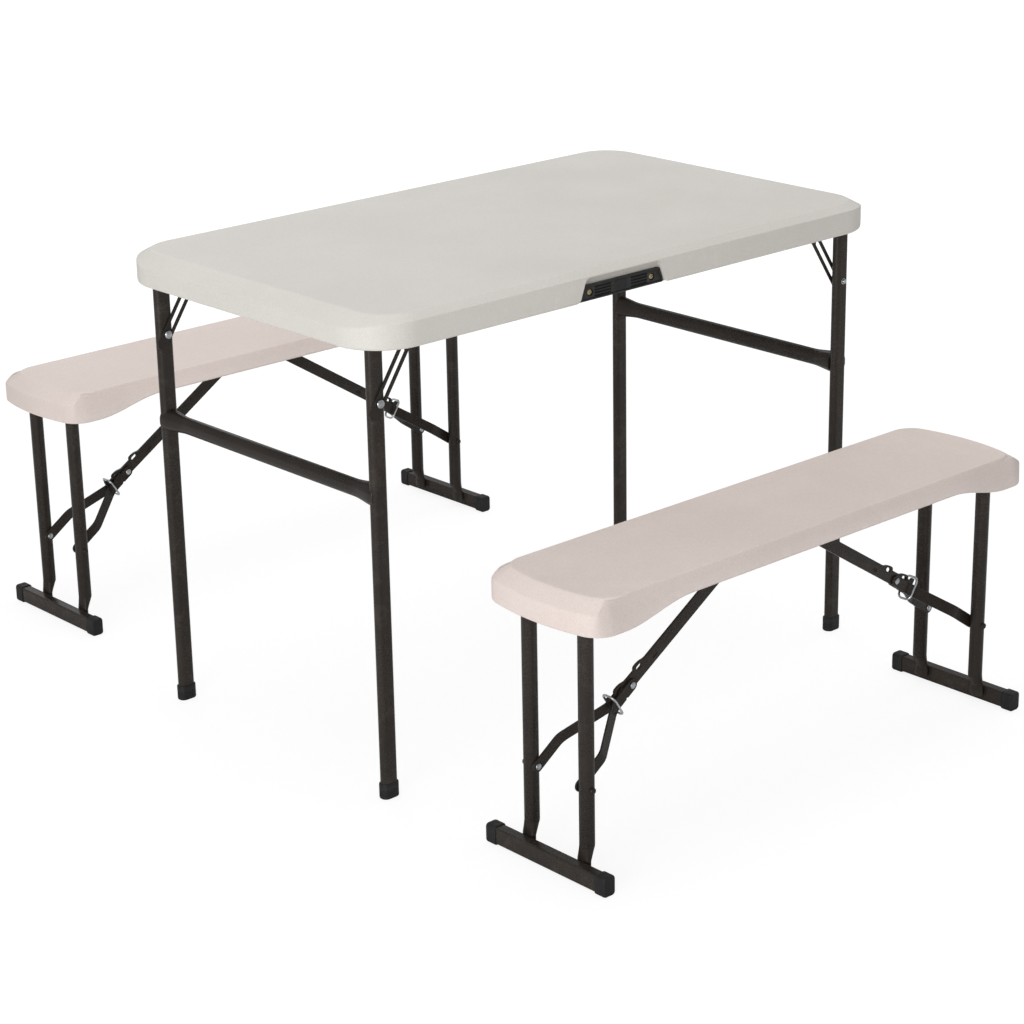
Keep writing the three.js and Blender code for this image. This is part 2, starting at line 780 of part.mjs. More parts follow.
// Strap: a flat bar on edge, with a lobe over each eyelet, a raised tail and a dimple pressed in both faces
function strap() {
  const half = (strapAbove + strapBelow) / 2;
  const crest = strapAbove + lobeHeight;
  const shape = new THREE.Shape();
  shape.moveTo(-strapTail, -strapBelow);
  shape.lineTo(strapReach, -strapBelow);
  shape.absarc(strapReach, strapAbove - half, half, -Math.PI / 2, Math.PI / 2, false);
  for (const eyelet of [upperEyelet, lowerEyelet]) {
    shape.lineTo(eyelet + lobeFall, strapAbove);
    shape.quadraticCurveTo(eyelet + lobeFall / 2, crest, eyelet, crest);
    shape.quadraticCurveTo(eyelet - lobeRise, crest, eyelet - lobeRise, strapAbove);
    const from = eyelet - eyeletLength / 2;
    shape.holes.push(slotHole(from, from + eyeletLength, eyeletHeight, eyeletWidth));
  }
  shape.lineTo(-strapTail + strapTailRise, strapAbove);
  shape.lineTo(-strapTail + strapTailRise - lobeHeight / 2, crest);
  shape.lineTo(-strapTail, crest);
  shape.closePath();
  shape.holes.push(circleHole(strapReach, 0, knucklePinRadius + pivotGap));
  const face = strapThickness / 2;
  const bar = plateAlongY(shape, strapThickness, -face, 3);
  const dimpleFrom = dimpleAbove - dimpleLength / 2;
  const rim = slotHole(dimpleFrom, dimpleFrom + dimpleLength, 0, dimpleWidth);
  const dimples = [-face, face].map((y) => {
    return plateAlongY(new THREE.Shape(rim.getPoints()), 2 * dimpleDepth, y - dimpleDepth);
  });
  const armOuter = face + pivotGap + armThickness;
  const pin = rodAlongY(knucklePinRadius, 2 * (armOuter + seatGap) + 1, 0, 0, 0, 8);
  const nearHead = rivetHead(knuckleHeadRadius, knuckleHeadHeight, 8).translate(0, -armOuter - seatGap, 0);
  const farHead = rivetHead(knuckleHeadRadius, knuckleHeadHeight, 8).rotateZ(Math.PI);
  farHead.translate(0, armOuter + seatGap, 0);
  return swingBrace(joined(cut(bar, ...dimples), pin, nearHead, farHead), strapAngle);
}

// Brace arm on one side: flat bar that runs along the strap, spreads, and lies along the tube's inner face
function arm(side) {
  const inner = strapThickness / 2 + pivotGap;
  const wide = benchTubeSpacing / 2 - benchTubeRadius - seatGap - armThickness;
  const half = armDepth / 2;
  const toe = armReach - armToe;
  const spread = Math.atan2(wide - inner, toe - armStraight);
  const lead = armThickness * Math.tan(spread / 2);
  const strip = new THREE.Shape();
  strip.moveTo(half, inner);
  strip.lineTo(-armStraight, inner);
  strip.lineTo(-toe, wide);
  strip.lineTo(-armReach - half, wide);
  strip.lineTo(-armReach - half, wide + armThickness);
  strip.lineTo(-toe + lead, wide + armThickness);
  strip.lineTo(-armStraight + lead, inner + armThickness);
  strip.lineTo(half, inner + armThickness);
  strip.closePath();
  const ribbon = new THREE.ExtrudeGeometry(strip, { depth: armDepth, bevelEnabled: false });
  ribbon.translate(0, 0, -half);
  const face = new THREE.Shape();
  face.absarc(0, 0, half, -Math.PI / 2, Math.PI / 2, false);
  face.absarc(-armReach, 0, half, Math.PI / 2, Math.PI * 1.5, false);
  face.lineTo(-armNotchBelow - armNotchLength / 2, -half);
  face.lineTo(-armNotchBelow, -half + armNotchDepth);
  face.lineTo(-armNotchBelow + armNotchLength / 2, -half);
  face.closePath();
  face.holes.push(circleHole(0, 0, knucklePinRadius + pivotGap));
  const blank = plateAlongY(face, benchTubeSpacing, 0, 3);
  const head = rivetHead(rivetHeadRadius * 0.75, rivetHeadHeight * 0.7, 8);
  head.translate(-armReach, wide + 0.3, 0);
  const bar = joined(common(ribbon, blank), head);
  return swingBrace(side > 0 ? bar : mirrored(bar), armAngle);
}

function mirrored(geometry) {
  const copy = geometry.clone().scale(1, -1, 1);
  const order = copy.index.array;
  for (let at = 0; at < order.length; at += 3) {
    [order[at], order[at + 1]] = [order[at + 1], order[at]];
  }
  return copy;
}

// Wire ring: an oblong loop round the strap and the arms, hung on the raised end of the strap's tail
function lockRing() {
  const sides = 6;
  const cornerSteps = 3;
  const wire = ringWire / 2;
  const high = strapAbove + lobeHeight + seatGap;
  const hang = (high - ringReach) / 2;
  const halfLong = (high + ringReach) / 2 + wire;
  const halfWide = ringWidth / 2 + wire;
  const path = outline(halfLong, halfWide, ringRound, cornerSteps);
  const rings = path.map((point, at) => {
    const before = path[(at + path.length - 1) % path.length];
    const after = path[(at + 1) % path.length];
    const along = new THREE.Vector2(after.x - before.x, after.y - before.y).normalize();
    return Array.from({ length: sides }, (unused, side) => {
      const angle = (2 * Math.PI * side) / sides;
      const out = wire * Math.cos(angle);
      const x = point.x + out * along.y;
      const y = point.y - out * along.x;
      return new THREE.Vector3(-ringBelowKnuckle + wire * Math.sin(angle), y, x + hang);
    });
  });
  return swingBrace(loft(rings, true), strapAngle);
}

// Bracket under the middle of the seat that carries both straps
function braceBracket() {
  const top = seatUnderside - seatGap;
  const drop = top - bracePivotHeight;
  const earGap = strapThickness / 2 + pivotGap;
  const reach = bracePivotFromMiddle + braceEar;
  const shape = new THREE.Shape();
  shape.moveTo(-reach, 0);
  shape.lineTo(-reach, -drop);
  shape.absarc(-bracePivotFromMiddle, -drop, braceEar, Math.PI, Math.PI * 1.5, false);
  shape.lineTo(bracePivotFromMiddle, -drop - braceEar);
  shape.absarc(bracePivotFromMiddle, -drop, braceEar, Math.PI * 1.5, Math.PI * 2, false);
  shape.lineTo(reach, 0);
  shape.closePath();
  const ears = [-earGap - bracketSheet, earGap].map((y) => plateAlongY(shape, bracketSheet, y, 2));
  ears.forEach((ear) => ear.translate(0, 0, top));
  const flange = 14;
  const plate = boxBetween([-reach, -earGap - flange, top - bracketSheet], [reach, earGap + flange, top]);
  const pins = [-1, 1].map((end) => {
    const length = 2 * (earGap + bracketSheet + 1);
    return rodAlongY(knucklePinRadius, length, end * bracePivotFromMiddle, 0, bracePivotHeight, 8);
  });
  return joined(plate, ...ears, ...pins);
}

// One end of a bench; near and far are the names of the -Y and +Y sides of this end
function benchEnd(bench, end, near, far) {
  const group = new THREE.Group();
  group.add(piece(`${bench}_${end}_leg_frame`, benchFrame(), 'steel'));
  group.add(piece(`${bench}_${end}_${near}_cap`, footBarCap(-1), 'rubber'));
  group.add(piece(`${bench}_${end}_${far}_cap`, footBarCap(1), 'rubber'));
  group.add(piece(`${bench}_${end}_strap`, strap(), 'steel'));
  group.add(piece(`${bench}_${end}_${near}_arm`, arm(-1), 'steel'));
  group.add(piece(`${bench}_${end}_${far}_arm`, arm(1), 'steel'));
  group.add(piece(`${bench}_${end}_lock_ring`, lockRing(), 'zinc'));
  return group;
}

// Both ends of a thing are alike: the one at +X is the one at -X turned half round
function halfTurned(group) {
  group.rotation.z = Math.PI;
  return group;
}

function bench(name, x, y) {
  const group = new THREE.Group();
  group.add(piece(`${name}_seat`, seat(), 'seat'));
  group.add(piece(`${name}_brace_bracket`, braceBracket(), 'steel'));
  group.add(benchEnd(name, 'left', 'front', 'rear'));
  group.add(halfTurned(benchEnd(name, 'right', 'rear', 'front')));
  group.position.set(x, y, 0);
  return group;
}

function table() {
  const group = new THREE.Group();
  group.add(piece('table_top', tableTop(), 'tabletop'));
  group.add(piece('carry_handle', carryHandle(), 'grip'));
  group.add(tableEnd('left', 'front', 'rear'));
  group.add(halfTurned(tableEnd('right', 'rear', 'front')));
  group.position.set(0, tableSlip, 0);
  return group;
}

const picnicSet = new THREE.Group();
picnicSet.add(table());
picnicSet.add(bench('front_bench', frontBenchSlip, -benchReach));
picnicSet.add(bench('rear_bench', rearBenchSlip, benchReach));

export default picnicSet;
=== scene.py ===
import json
import math

import bmesh
import bpy
from mathutils import Matrix, Vector

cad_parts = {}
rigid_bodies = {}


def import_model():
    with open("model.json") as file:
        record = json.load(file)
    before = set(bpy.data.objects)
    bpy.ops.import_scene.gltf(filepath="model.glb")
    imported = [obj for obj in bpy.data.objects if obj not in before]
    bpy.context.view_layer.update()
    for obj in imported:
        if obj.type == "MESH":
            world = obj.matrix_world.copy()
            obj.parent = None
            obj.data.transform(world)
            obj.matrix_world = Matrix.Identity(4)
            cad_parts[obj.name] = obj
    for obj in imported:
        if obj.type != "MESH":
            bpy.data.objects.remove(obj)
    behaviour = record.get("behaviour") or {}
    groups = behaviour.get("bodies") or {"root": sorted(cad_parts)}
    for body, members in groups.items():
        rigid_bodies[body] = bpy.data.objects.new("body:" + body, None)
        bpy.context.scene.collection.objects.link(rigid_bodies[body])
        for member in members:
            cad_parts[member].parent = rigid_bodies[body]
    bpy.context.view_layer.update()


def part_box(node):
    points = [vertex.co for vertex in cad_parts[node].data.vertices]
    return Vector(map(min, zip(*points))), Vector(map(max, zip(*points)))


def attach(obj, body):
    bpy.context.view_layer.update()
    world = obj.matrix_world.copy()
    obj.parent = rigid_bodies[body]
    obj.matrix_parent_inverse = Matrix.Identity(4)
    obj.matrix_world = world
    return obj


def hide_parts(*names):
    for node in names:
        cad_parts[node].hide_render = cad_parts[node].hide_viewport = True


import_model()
scene = bpy.context.scene
mm = 0.001
print("frame loaded")


def middleOf(node):
    low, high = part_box(node)
    return Vector(((low.x + high.x) / 2, (low.y + high.y) / 2, 0))


def shift(x, y, z):
    return Matrix.Translation((x, y, z))


def turn(axis, degrees):
    return Matrix.Rotation(math.radians(degrees), 4, axis)


def seatAt(middle, halfTurned):  # millimetres round a thing's middle to the row frame
    return Matrix.Translation(middle) @ turn("Z", 180 if halfTurned else 0) @ Matrix.Scale(mm, 4)


def newFaces(got):
    return [g for g in got["geom"] if isinstance(g, bmesh.types.BMFace)]


def newVerts(got):
    return [g for g in got["geom"] if isinstance(g, bmesh.types.BMVert)]


def panelFace(bm, halfX, halfY, radius, segments, z):  # rounded rectangle
    verts = bmesh.ops.create_grid(bm, x_segments=1, y_segments=1, size=1)["verts"]
    bmesh.ops.scale(bm, vec=(halfX, halfY, 1), verts=verts)
    bmesh.ops.translate(bm, vec=(0, 0, z), verts=verts)
    got = bmesh.ops.bevel(bm, geom=verts, offset=radius, offset_type="OFFSET", affect="VERTICES",
                          segments=segments, profile=0.5, material=-1)
    return got["verts"][0].link_faces[0]


def ovalFace(bm, halfX, halfY, segments, z):  # circle with its halves moved apart
    small = min(halfX, halfY)
    verts = bmesh.ops.create_circle(bm, cap_ends=True, segments=segments,
                                    radius=small / math.cos(math.pi / segments))["verts"]
    bmesh.ops.rotate(bm, verts=verts, cent=(0, 0, 0), matrix=Matrix.Rotation(math.pi / segments, 3, "Z"))
    for vert in verts:
        vert.co.x += math.copysign(halfX - small, vert.co.x)
        vert.co.y += math.copysign(halfY - small, vert.co.y)
        vert.co.z = z
    return verts[0].link_faces[0]


def lifted(bm, face):  # extruded; the old face stays only where it is the closed bottom
    inside = all(len(edge.link_faces) > 1 for edge in face.edges)
    got = bmesh.ops.extrude_face_region(bm, geom=[face])
    if inside:
        bmesh.ops.delete(bm, geom=[face], context="FACES_ONLY")
    return newFaces(got)[0]


def ringUp(bm, face, rings):  # rings are (half x, half y, z, middle x)
    for ring in rings:
        face = lifted(bm, face)
        verts = face.verts[:]
        xs = [v.co.x for v in verts]
        ys = [v.co.y for v in verts]
        mid = Vector(((min(xs) + max(xs)) / 2, (min(ys) + max(ys)) / 2, verts[0].co.z))
        grow = (2 * ring[0] / (max(xs) - min(xs)), 2 * ring[1] / (max(ys) - min(ys)), 1)
        bmesh.ops.scale(bm, vec=grow, verts=verts, space=Matrix.Translation(-mid))
        side = ring[3] - mid.x if len(ring) > 3 else 0
        bmesh.ops.translate(bm, vec=(side, 0, ring[2] - mid.z), verts=verts)
    return face


def stepIn(bm, face, inX, inY, z):  # the face shrinks by a true offset and moves to z
    even = (inX + inY) / 2
    if even < 1e-5:
        face = lifted(bm, face)
    else:
        xs = max(v.co.x for v in face.verts)
        ys = max(v.co.y for v in face.verts)
        bmesh.ops.inset_region(bm, faces=[face], thickness=even, use_even_offset=True, use_boundary=True)
        bmesh.ops.scale(bm, vec=((xs - inX) / (xs - even), (ys - inY) / (ys - even), 1), verts=face.verts[:])
    for vert in face.verts:
        vert.co.z = z
    return face


def rollOver(bm, face, runX, runY, z, height, steps):  # soft edge, an upright quarter ellipse
    before = 0
    for step in range(1, steps + 1):
        angle = math.pi / 2 * step / steps
        share = 1 - math.cos(angle)
        face = stepIn(bm, face, runX * (share - before), runY * (share - before), z + height * math.sin(angle))
        before = share
    return face


def crease(start, corner, end):  # small round between two straight runs
    shares = [step / 4 for step in range(5)]
    return [tuple((1 - t) ** 2 * a + 2 * t * (1 - t) * b + t * t * c for a, b, c in zip(start, corner, end))
            for t in shares]


def smooth(low, high, value):
    share = min(1, max(0, (value - low) / (high - low)))
    return share * share * (3 - 2 * share)


def endShare(spot, s):  # 1 on a short end, 0 on a long side, in between round a corner
    outX = max(0, abs(spot.x) - s["halfX"] + s["corner"])
    outY = max(0, abs(spot.y) - s["halfY"] + s["corner"])
    return outX ** 2 / (outX ** 2 + outY ** 2) if outX + outY > 0 else 0


def slopeEdge(bm, face, s, shares):  # sloped upper edge of the table; shares are (run, fall)
    wasX = wasY = 0
    for run, fall in shares:
        inX, inY = run * s["endRun"], run * s["sideRun"]
        face = stepIn(bm, face, inX - wasX, inY - wasY, 0)
        wasX, wasY = inX, inY
        for vert in face.verts:
            end = endShare(vert.co, s) ** 2
            vert.co.z = s["height"] - fall * (end * s["endDrop"] + (1 - end) * s["sideDrop"])
    return face


def slopeSeat(bm, face, s, home, ends, sides, depth):  # the same for a seat; home keeps each vertex's first place
    for (endRun, endFall), (sideRun, sideFall) in zip(ends, sides):
        face = lifted(bm, face)
        for vert in face.verts:
            spot = vert[home]
            end = smooth(0, 0.75, endShare(spot, s))
            inY = end * endRun + (1 - end) * sideRun
            fall = end * endFall * s["endDrop"] + (1 - end) * sideFall * depth(spot.x)
            vert.co = (spot.x * (1 - endRun * s["endRun"] / s["halfX"]), spot.y * (1 - inY * s["sideRun"] / s["halfY"]),
                       s["height"] - fall)
    return face


def tuckIn(bm, face, run, z, height, steps):  # the same, starting flat and ending upright
    before = 0
    for step in range(1, steps + 1):
        angle = math.pi / 2 * step / steps
        share = math.sin(angle)
        face = stepIn(bm, face, run * (share - before), run * (share - before), z + height * (1 - math.cos(angle)))
        before = share
    return face


def turned(profile, steps):  # profile of (radius, z) turned round z
    bm = bmesh.new()
    verts = [bm.verts.new((r, 0, z)) for r, z in profile]
    edges = [bm.edges.new(pair) for pair in zip(verts, verts[1:])]
    bmesh.ops.spin(bm, geom=verts + edges, cent=(0, 0, 0), axis=(0, 0, 1), angle=2 * math.pi, steps=steps,
                   use_merge=True)
    bmesh.ops.remove_doubles(bm, verts=bm.verts, dist=1e-4)
    return bm


def domed(radius, height, sink, steps):  # rivet head on z = 0, with a shank below
    arc = [(radius * math.cos(a), height * (0.35 + 0.65 * math.sin(a))) for a in
           (math.pi / 2 * k / 6 for k in range(7))]
    return turned([(0, -sink), (radius * 0.55, -sink), (radius * 0.55, 0), (radius * 0.97, 0)] + arc, steps)


def flatPlate(points, holes, thickness, rim):  # points are (x, y, corner run); holes (x, y, half length, radius)
    bm = bmesh.new()
    verts = [bm.verts.new((p[0], p[1], 0)) for p in points]
    bm.faces.new(verts)
    for vert, point in zip(verts, points):
        if point[2] > 0:
            bmesh.ops.bevel(bm, geom=[vert], offset=point[2], offset_type="OFFSET", affect="VERTICES",
                            segments=max(3, round(point[2])), profile=0.5, material=-1)
    bmesh.ops.remove_doubles(bm, verts=bm.verts, dist=0.01)
    if holes:
        bmesh.ops.delete(bm, geom=bm.faces[:], context="FACES_ONLY")
        for x, y, half, radius in holes:
            loop = bmesh.ops.create_circle(bm, cap_ends=False, segments=20, radius=radius)["verts"]
            bmesh.ops.rotate(bm, verts=loop, cent=(0, 0, 0), matrix=Matrix.Rotation(math.pi / 20, 3, "Z"))
            for vert in loop:
                vert.co.x += math.copysign(half, vert.co.x)
            bmesh.ops.translate(bm, vec=(x, y, 0), verts=loop)
        bmesh.ops.triangle_fill(bm, use_beauty=True, edges=bm.edges[:])
    got = bmesh.ops.extrude_face_region(bm, geom=bm.faces[:])
    bmesh.ops.translate(bm, vec=(0, 0, thickness), verts=newVerts(got))
    bmesh.ops.recalc_face_normals(bm, faces=bm.faces)
    if rim > 0:
        lips = [e for e in bm.edges if abs(e.calc_face_angle(0) - math.pi / 2) < 0.1
                and abs(e.verts[0].co.z - e.verts[1].co.z) < 1e-6]
        bmesh.ops.bevel(bm, geom=lips, offset=rim, offset_type="OFFSET", affect="EDGES", segments=2, profile=0.5,
                        material=-1, clamp_overlap=True)
    return bm


def addInto(bm, other, matrix):
    bmesh.ops.transform(other, matrix=matrix, verts=other.verts)
    carry = bpy.data.meshes.new("carry")
    other.to_mesh(carry)
    other.free()
    bm.from_mesh(carry)
    bpy.data.meshes.remove(carry)
    return bm


def slicedX(bm, stations):
    for x in stations:
        bmesh.ops.bisect_plane(bm, geom=bm.verts[:] + bm.edges[:] + bm.faces[:], dist=1e-4, plane_co=(x, 0, 0),
                               plane_no=(1, 0, 0))
    return bm


def carved(bm, cutter):  # bm less the closed shapes in cutter
    held = []
    for work, name in ((bm, "body"), (cutter, "cutter")):
        bmesh.ops.recalc_face_normals(work, faces=work.faces)
        mesh = bpy.data.meshes.new(name)
        work.to_mesh(mesh)
        work.free()
        obj = bpy.data.objects.new(name, mesh)
        scene.collection.objects.link(obj)
        held.append(obj)
    tool = held[0].modifiers.new("carve", "BOOLEAN")
    tool.operation = "DIFFERENCE"
    tool.solver = "EXACT"
    tool.object = held[1]
    bpy.context.view_layer.update()
    solved = bpy.data.meshes.new_from_object(held[0].evaluated_get(bpy.context.evaluated_depsgraph_get()))
    out = bmesh.new()
    out.from_mesh(solved)
    for obj in held:
        mesh = obj.data
        bpy.data.objects.remove(obj)
        bpy.data.meshes.remove(mesh)
    bpy.data.meshes.remove(solved)
    bmesh.ops.remove_doubles(out, verts=out.verts, dist=0.005)
    return out


def makePiece(name, bm, skin, place, body, slot, *nodes):
    bmesh.ops.remove_doubles(bm, verts=bm.verts, dist=0.004)
    bmesh.ops.transform(bm, matrix=place, verts=bm.verts)
    bmesh.ops.recalc_face_normals(bm, faces=bm.faces)
    for mark in ("wear", "hollow"):
        bm.verts.layers.float.new(mark)
    wear, hollow = (bm.verts.layers.float[mark] for mark in ("wear", "hollow"))
    for vert in bm.verts:
        bends = [edge.calc_face_angle_signed(0) for edge in vert.link_edges]
        vert[wear] = min(1, max(0, max(bends, default=0)) / 0.8)
        # hollow marks concave bends, where the finishes paint shade
        vert[hollow] = min(1, max(0, -min(bends, default=0)) / 0.8)
    for edge in bm.edges:
        edge.smooth = edge.calc_face_angle(0) < math.radians(40)
    for face in bm.faces:
        face.smooth = True
    mesh = bpy.data.meshes.new(name)
    bm.to_mesh(mesh)
    bm.free()
    mesh.materials.append(skin)
    obj = bpy.data.objects.new(name, mesh)
    scene.collection.objects.link(obj)
    flat = obj.modifiers.new("flatShading", "WEIGHTED_NORMAL")
    flat.keep_sharp = True
    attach(obj, body)
    if nodes:
        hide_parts(*nodes)
    return obj


class Flow:
    def __init__(self, tree, out=None):
        self.tree = tree
        self.out = out

    def node(self, kind, settings, inputs, output=0):
        made = self.tree.nodes.new("ShaderNode" + kind)
        for key, value in settings.items():
            setattr(made, key, value)
        for key, value in inputs.items():
            if isinstance(value, Flow):
                self.tree.links.new(value.out, made.inputs[key])
            else:
                made.inputs[key].default_value = value
        return Flow(self.tree, made.outputs[output] if made.outputs else None)

    def sum(self, operation, one, two):
        return self.node("Math", {"operation": operation}, {0: one, 1: two})

    def __add__(self, other):
        return self.sum("ADD", self, other)

    def __radd__(self, other):
        return self.sum("ADD", other, self)

    def __sub__(self, other):
        return self.sum("SUBTRACT", self, other)

    def __rsub__(self, other):
        return self.sum("SUBTRACT", other, self)

    def __mul__(self, other):
        return self.sum("MULTIPLY", self, other)

    def __rmul__(self, other):
        return self.sum("MULTIPLY", other, self)

    def __truediv__(self, other):
        return self.sum("DIVIDE", self, other)

    def __rtruediv__(self, other):
        return self.sum("DIVIDE", other, self)

    def __pow__(self, other):
        return self.sum("POWER", self, other)

    def __rpow__(self, other):
        return self.sum("POWER", other, self)

    def blend(self, one, two):  # colour between two, by this factor
        return self.node("Mix", {"data_type": "RGBA"}, {0: self, 6: one, 7: two}, 2)

    def window(self, low, high):  # 0 to 1 between two values, smooth
        return self.node("MapRange", {"interpolation_type": "SMOOTHSTEP"},
                         {"Value": self, "From Min": low, "From Max": high})


def linear(red, green, blue):
    def one(value):
        share = value / 255
        return share / 12.92 if share <= 0.04045 else ((share + 0.055) / 1.055) ** 2.4
    return (one(red), one(green), one(blue), 1)


def finish(name, spec):
    skin = bpy.data.materials.new(name)
    skin.use_nodes = True
    tree = skin.node_tree
    tree.nodes.clear()
    flow = Flow(tree)
    place = flow.node("TexCoord", {}, {}, 3)
    cloud = flow.node("TexNoise", {}, {"Vector": place, "Scale": spec["cloud"], "Detail": 5, "Roughness": 0.6})
    fleck = flow.node("TexNoise", {}, {"Vector": place, "Scale": spec["fleck"], "Detail": 3, "Roughness": 0.65})
    cells = flow.node("TexVoronoi", {"feature": "SMOOTH_F1"}, {"Vector": place, "Scale": spec["cell"]})
    worn = flow.node("Attribute", {"attribute_name": "wear"}, {}, 2).window(0.25, 0.9)
    scuff = flow.node("TexNoise", {}, {"Vector": place, "Scale": 46, "Detail": 6, "Roughness": 0.7}).window(0.5, 0.68)
    patch = cloud.window(0.32, 0.7)
    grain = fleck.window(0.3, 0.7)
    tone = (patch * spec["patchy"] + grain * (1 - spec["patchy"])).blend(spec["deep"], spec["base"])
    tone = (worn * (0.35 + 0.65 * scuff) * spec["worn"]).blend(tone, spec["edge"])
    # painted shade: the colour darkens toward the shade colour in concave hollows, creases and grooves
    sunk = flow.node("Attribute", {"attribute_name": "hollow"}, {}, 2).window(0.3, 0.9)
    tone = (sunk * (0.6 + 0.4 * grain) * spec["hollowShade"]).blend(tone, spec["shade"])
    rough = spec["rough"] + (grain - 0.5) * spec["roughSwing"] + (patch - 0.5) * spec["roughSwing"]
    rough = rough - worn * spec["polish"]
    height = cells * spec["cellShare"] + fleck * (1 - spec["cellShare"])
    lift = flow.node("Bump", {}, {"Strength": spec["bump"], "Distance": spec["bumpDepth"], "Height": height})
    surface = flow.node("BsdfPrincipled", {}, {
        "Base Color": tone, "Roughness": rough, "Normal": lift, "Metallic": spec["metal"],
        "Specular IOR Level": spec["gleam"], "Coat Weight": spec["coat"], "Coat Roughness": 0.3})
    flow.node("OutputMaterial", {}, {"Surface": surface})
    return skin


# each finish's shade colour is painted shade, laid into its concave hollows
topSkin = finish("mouldedTop", {
    "base": linear(226, 223, 217), "deep": linear(214, 210, 203), "edge": linear(238, 236, 231), "cloud": 5,
    "fleck": 420, "cell": 620, "patchy": 0.35, "worn": 0.4, "rough": 0.52, "roughSwing": 0.1, "polish": 0.06,
    "cellShare": 0.6, "bump": 0.35, "bumpDepth": 0.0006, "metal": 0, "gleam": 0.4, "coat": 0, "shade": linear(150, 146, 140),
    "hollowShade": 0.35})
seatSkin = finish("mouldedSeat", {
    "base": linear(235, 222, 216), "deep": linear(222, 207, 200), "edge": linear(244, 236, 230), "cloud": 6,
    "fleck": 420, "cell": 620, "patchy": 0.35, "worn": 0.45, "rough": 0.52, "roughSwing": 0.1, "polish": 0.06,
    "cellShare": 0.6, "bump": 0.4, "bumpDepth": 0.0006, "metal": 0, "gleam": 0.4, "coat": 0, "shade": linear(146, 134, 128),
    "hollowShade": 0.35})
steelSkin = finish("powderCoat", {
    "base": linear(47, 41, 36), "deep": linear(34, 29, 26), "edge": linear(84, 77, 70), "cloud": 9,
    "fleck": 520, "cell": 380, "patchy": 0.5, "worn": 0.35, "rough": 0.3, "roughSwing": 0.08, "polish": 0.04,
    "cellShare": 0.7, "bump": 0.08, "bumpDepth": 0.0005, "metal": 0, "gleam": 0.24, "coat": 0, "shade": linear(16, 14, 13),
    "hollowShade": 0.5})
rubberSkin = finish("footRubber", {
    "base": linear(22, 22, 22), "deep": linear(14, 14, 14), "edge": linear(54, 53, 53), "cloud": 20,
    "fleck": 700, "cell": 900, "patchy": 0.4, "worn": 0.5, "rough": 0.62, "roughSwing": 0.12, "polish": 0.05,
    "cellShare": 0.5, "bump": 0.3, "bumpDepth": 0.0004, "metal": 0, "gleam": 0.4, "coat": 0, "shade": linear(10, 10, 10),
    "hollowShade": 0.6})
gripSkin = finish("gripPlastic", {
    "base": linear(25, 27, 25), "deep": linear(15, 17, 16), "edge": linear(84, 88, 84), "cloud": 18,
    "fleck": 600, "cell": 800, "patchy": 0.4, "worn": 0.4, "rough": 0.5, "roughSwing": 0.12, "polish": 0.06,
    "cellShare": 0.6, "bump": 0.35, "bumpDepth": 0.0004, "metal": 0, "gleam": 0.45, "coat": 0, "shade": linear(8, 9, 9),
    "hollowShade": 0.9})
zincSkin = finish("zincPlate", {
    "base": linear(206, 211, 214), "deep": linear(170, 175, 178), "edge": linear(232, 236, 238), "cloud": 30,
    "fleck": 900, "cell": 500, "patchy": 0.5, "worn": 0.6, "rough": 0.28, "roughSwing": 0.14, "polish": 0.06,
    "cellShare": 0.4, "bump": 0.12, "bumpDepth": 0.0003, "metal": 1, "gleam": 0.5, "coat": 0, "shade": linear(90, 90, 88),
    "hollowShade": 0.25})
brassSkin = finish("yellowZinc", {
    "base": linear(214, 200, 160), "deep": linear(170, 152, 112), "edge": linear(240, 230, 200), "cloud": 40,
    "fleck": 900, "cell": 500, "patchy": 0.5, "worn": 0.6, "rough": 0.3, "roughSwing": 0.14, "polish": 0.06,
    "cellShare": 0.4, "bump": 0.12, "bumpDepth": 0.0003, "metal": 1, "gleam": 0.5, "coat": 0, "shade": linear(84, 70, 44),
    "hollowShade": 0.2})
print("finishes made")

tableMiddle = middleOf("table_top")
faceFront = turn("X", 90)  # a shape drawn on x, y with z outward then faces the front
topSpec = {"halfX": 525, "halfY": 306, "corner": 80, "height": 739, "underside": 720, "rimBottom": 692,
           "rimWidth": 16, "draft": 2, "soft": 5, "endRun": 29, "endDrop": 18, "sideRun": 13, "sideDrop": 9,
           "pitRadius": 17, "pitDepth": 9, "pitPitch": 126}
handleSpec = {"x": -51, "bottom": 88, "top": 79, "height": 24, "thick": 4, "front": -300, "foot": 692.3,
              "pocketHead": 12.5, "pocketDepth": 10.3, "side": 1.5, "flare": 8, "border": 2.4, "sunk": 0.8,
              "screwX": 63, "screwRadius": 6, "groove": 34, "grooveHeight": 2.4, "grooveDepth": 1.6}


def pocketCutter(s, t):
    bottom = s["bottom"] + s["side"]
    lean = (s["bottom"] - s["top"]) / s["height"]
    tall = s["height"] + s["pocketHead"]
    head = bottom - lean * tall
    deep = s["pocketDepth"]
    out = bottom + 2 * s["flare"]
    points = [(-out, -9, 0), (out, -9, 0), (out, -0.5, 0), (bottom, -0.5, s["flare"]), (head, tall, 8),
              (-head, tall, 8), (-bottom, -0.5, s["flare"]), (-out, -0.5, 0)]
    bm = flatPlate(points, [], deep + 4, 0)
    bmesh.ops.transform(bm, matrix=shift(s["x"], -t["halfY"] + deep, t["rimBottom"]) @ faceFront, verts=bm.verts)
    return bm


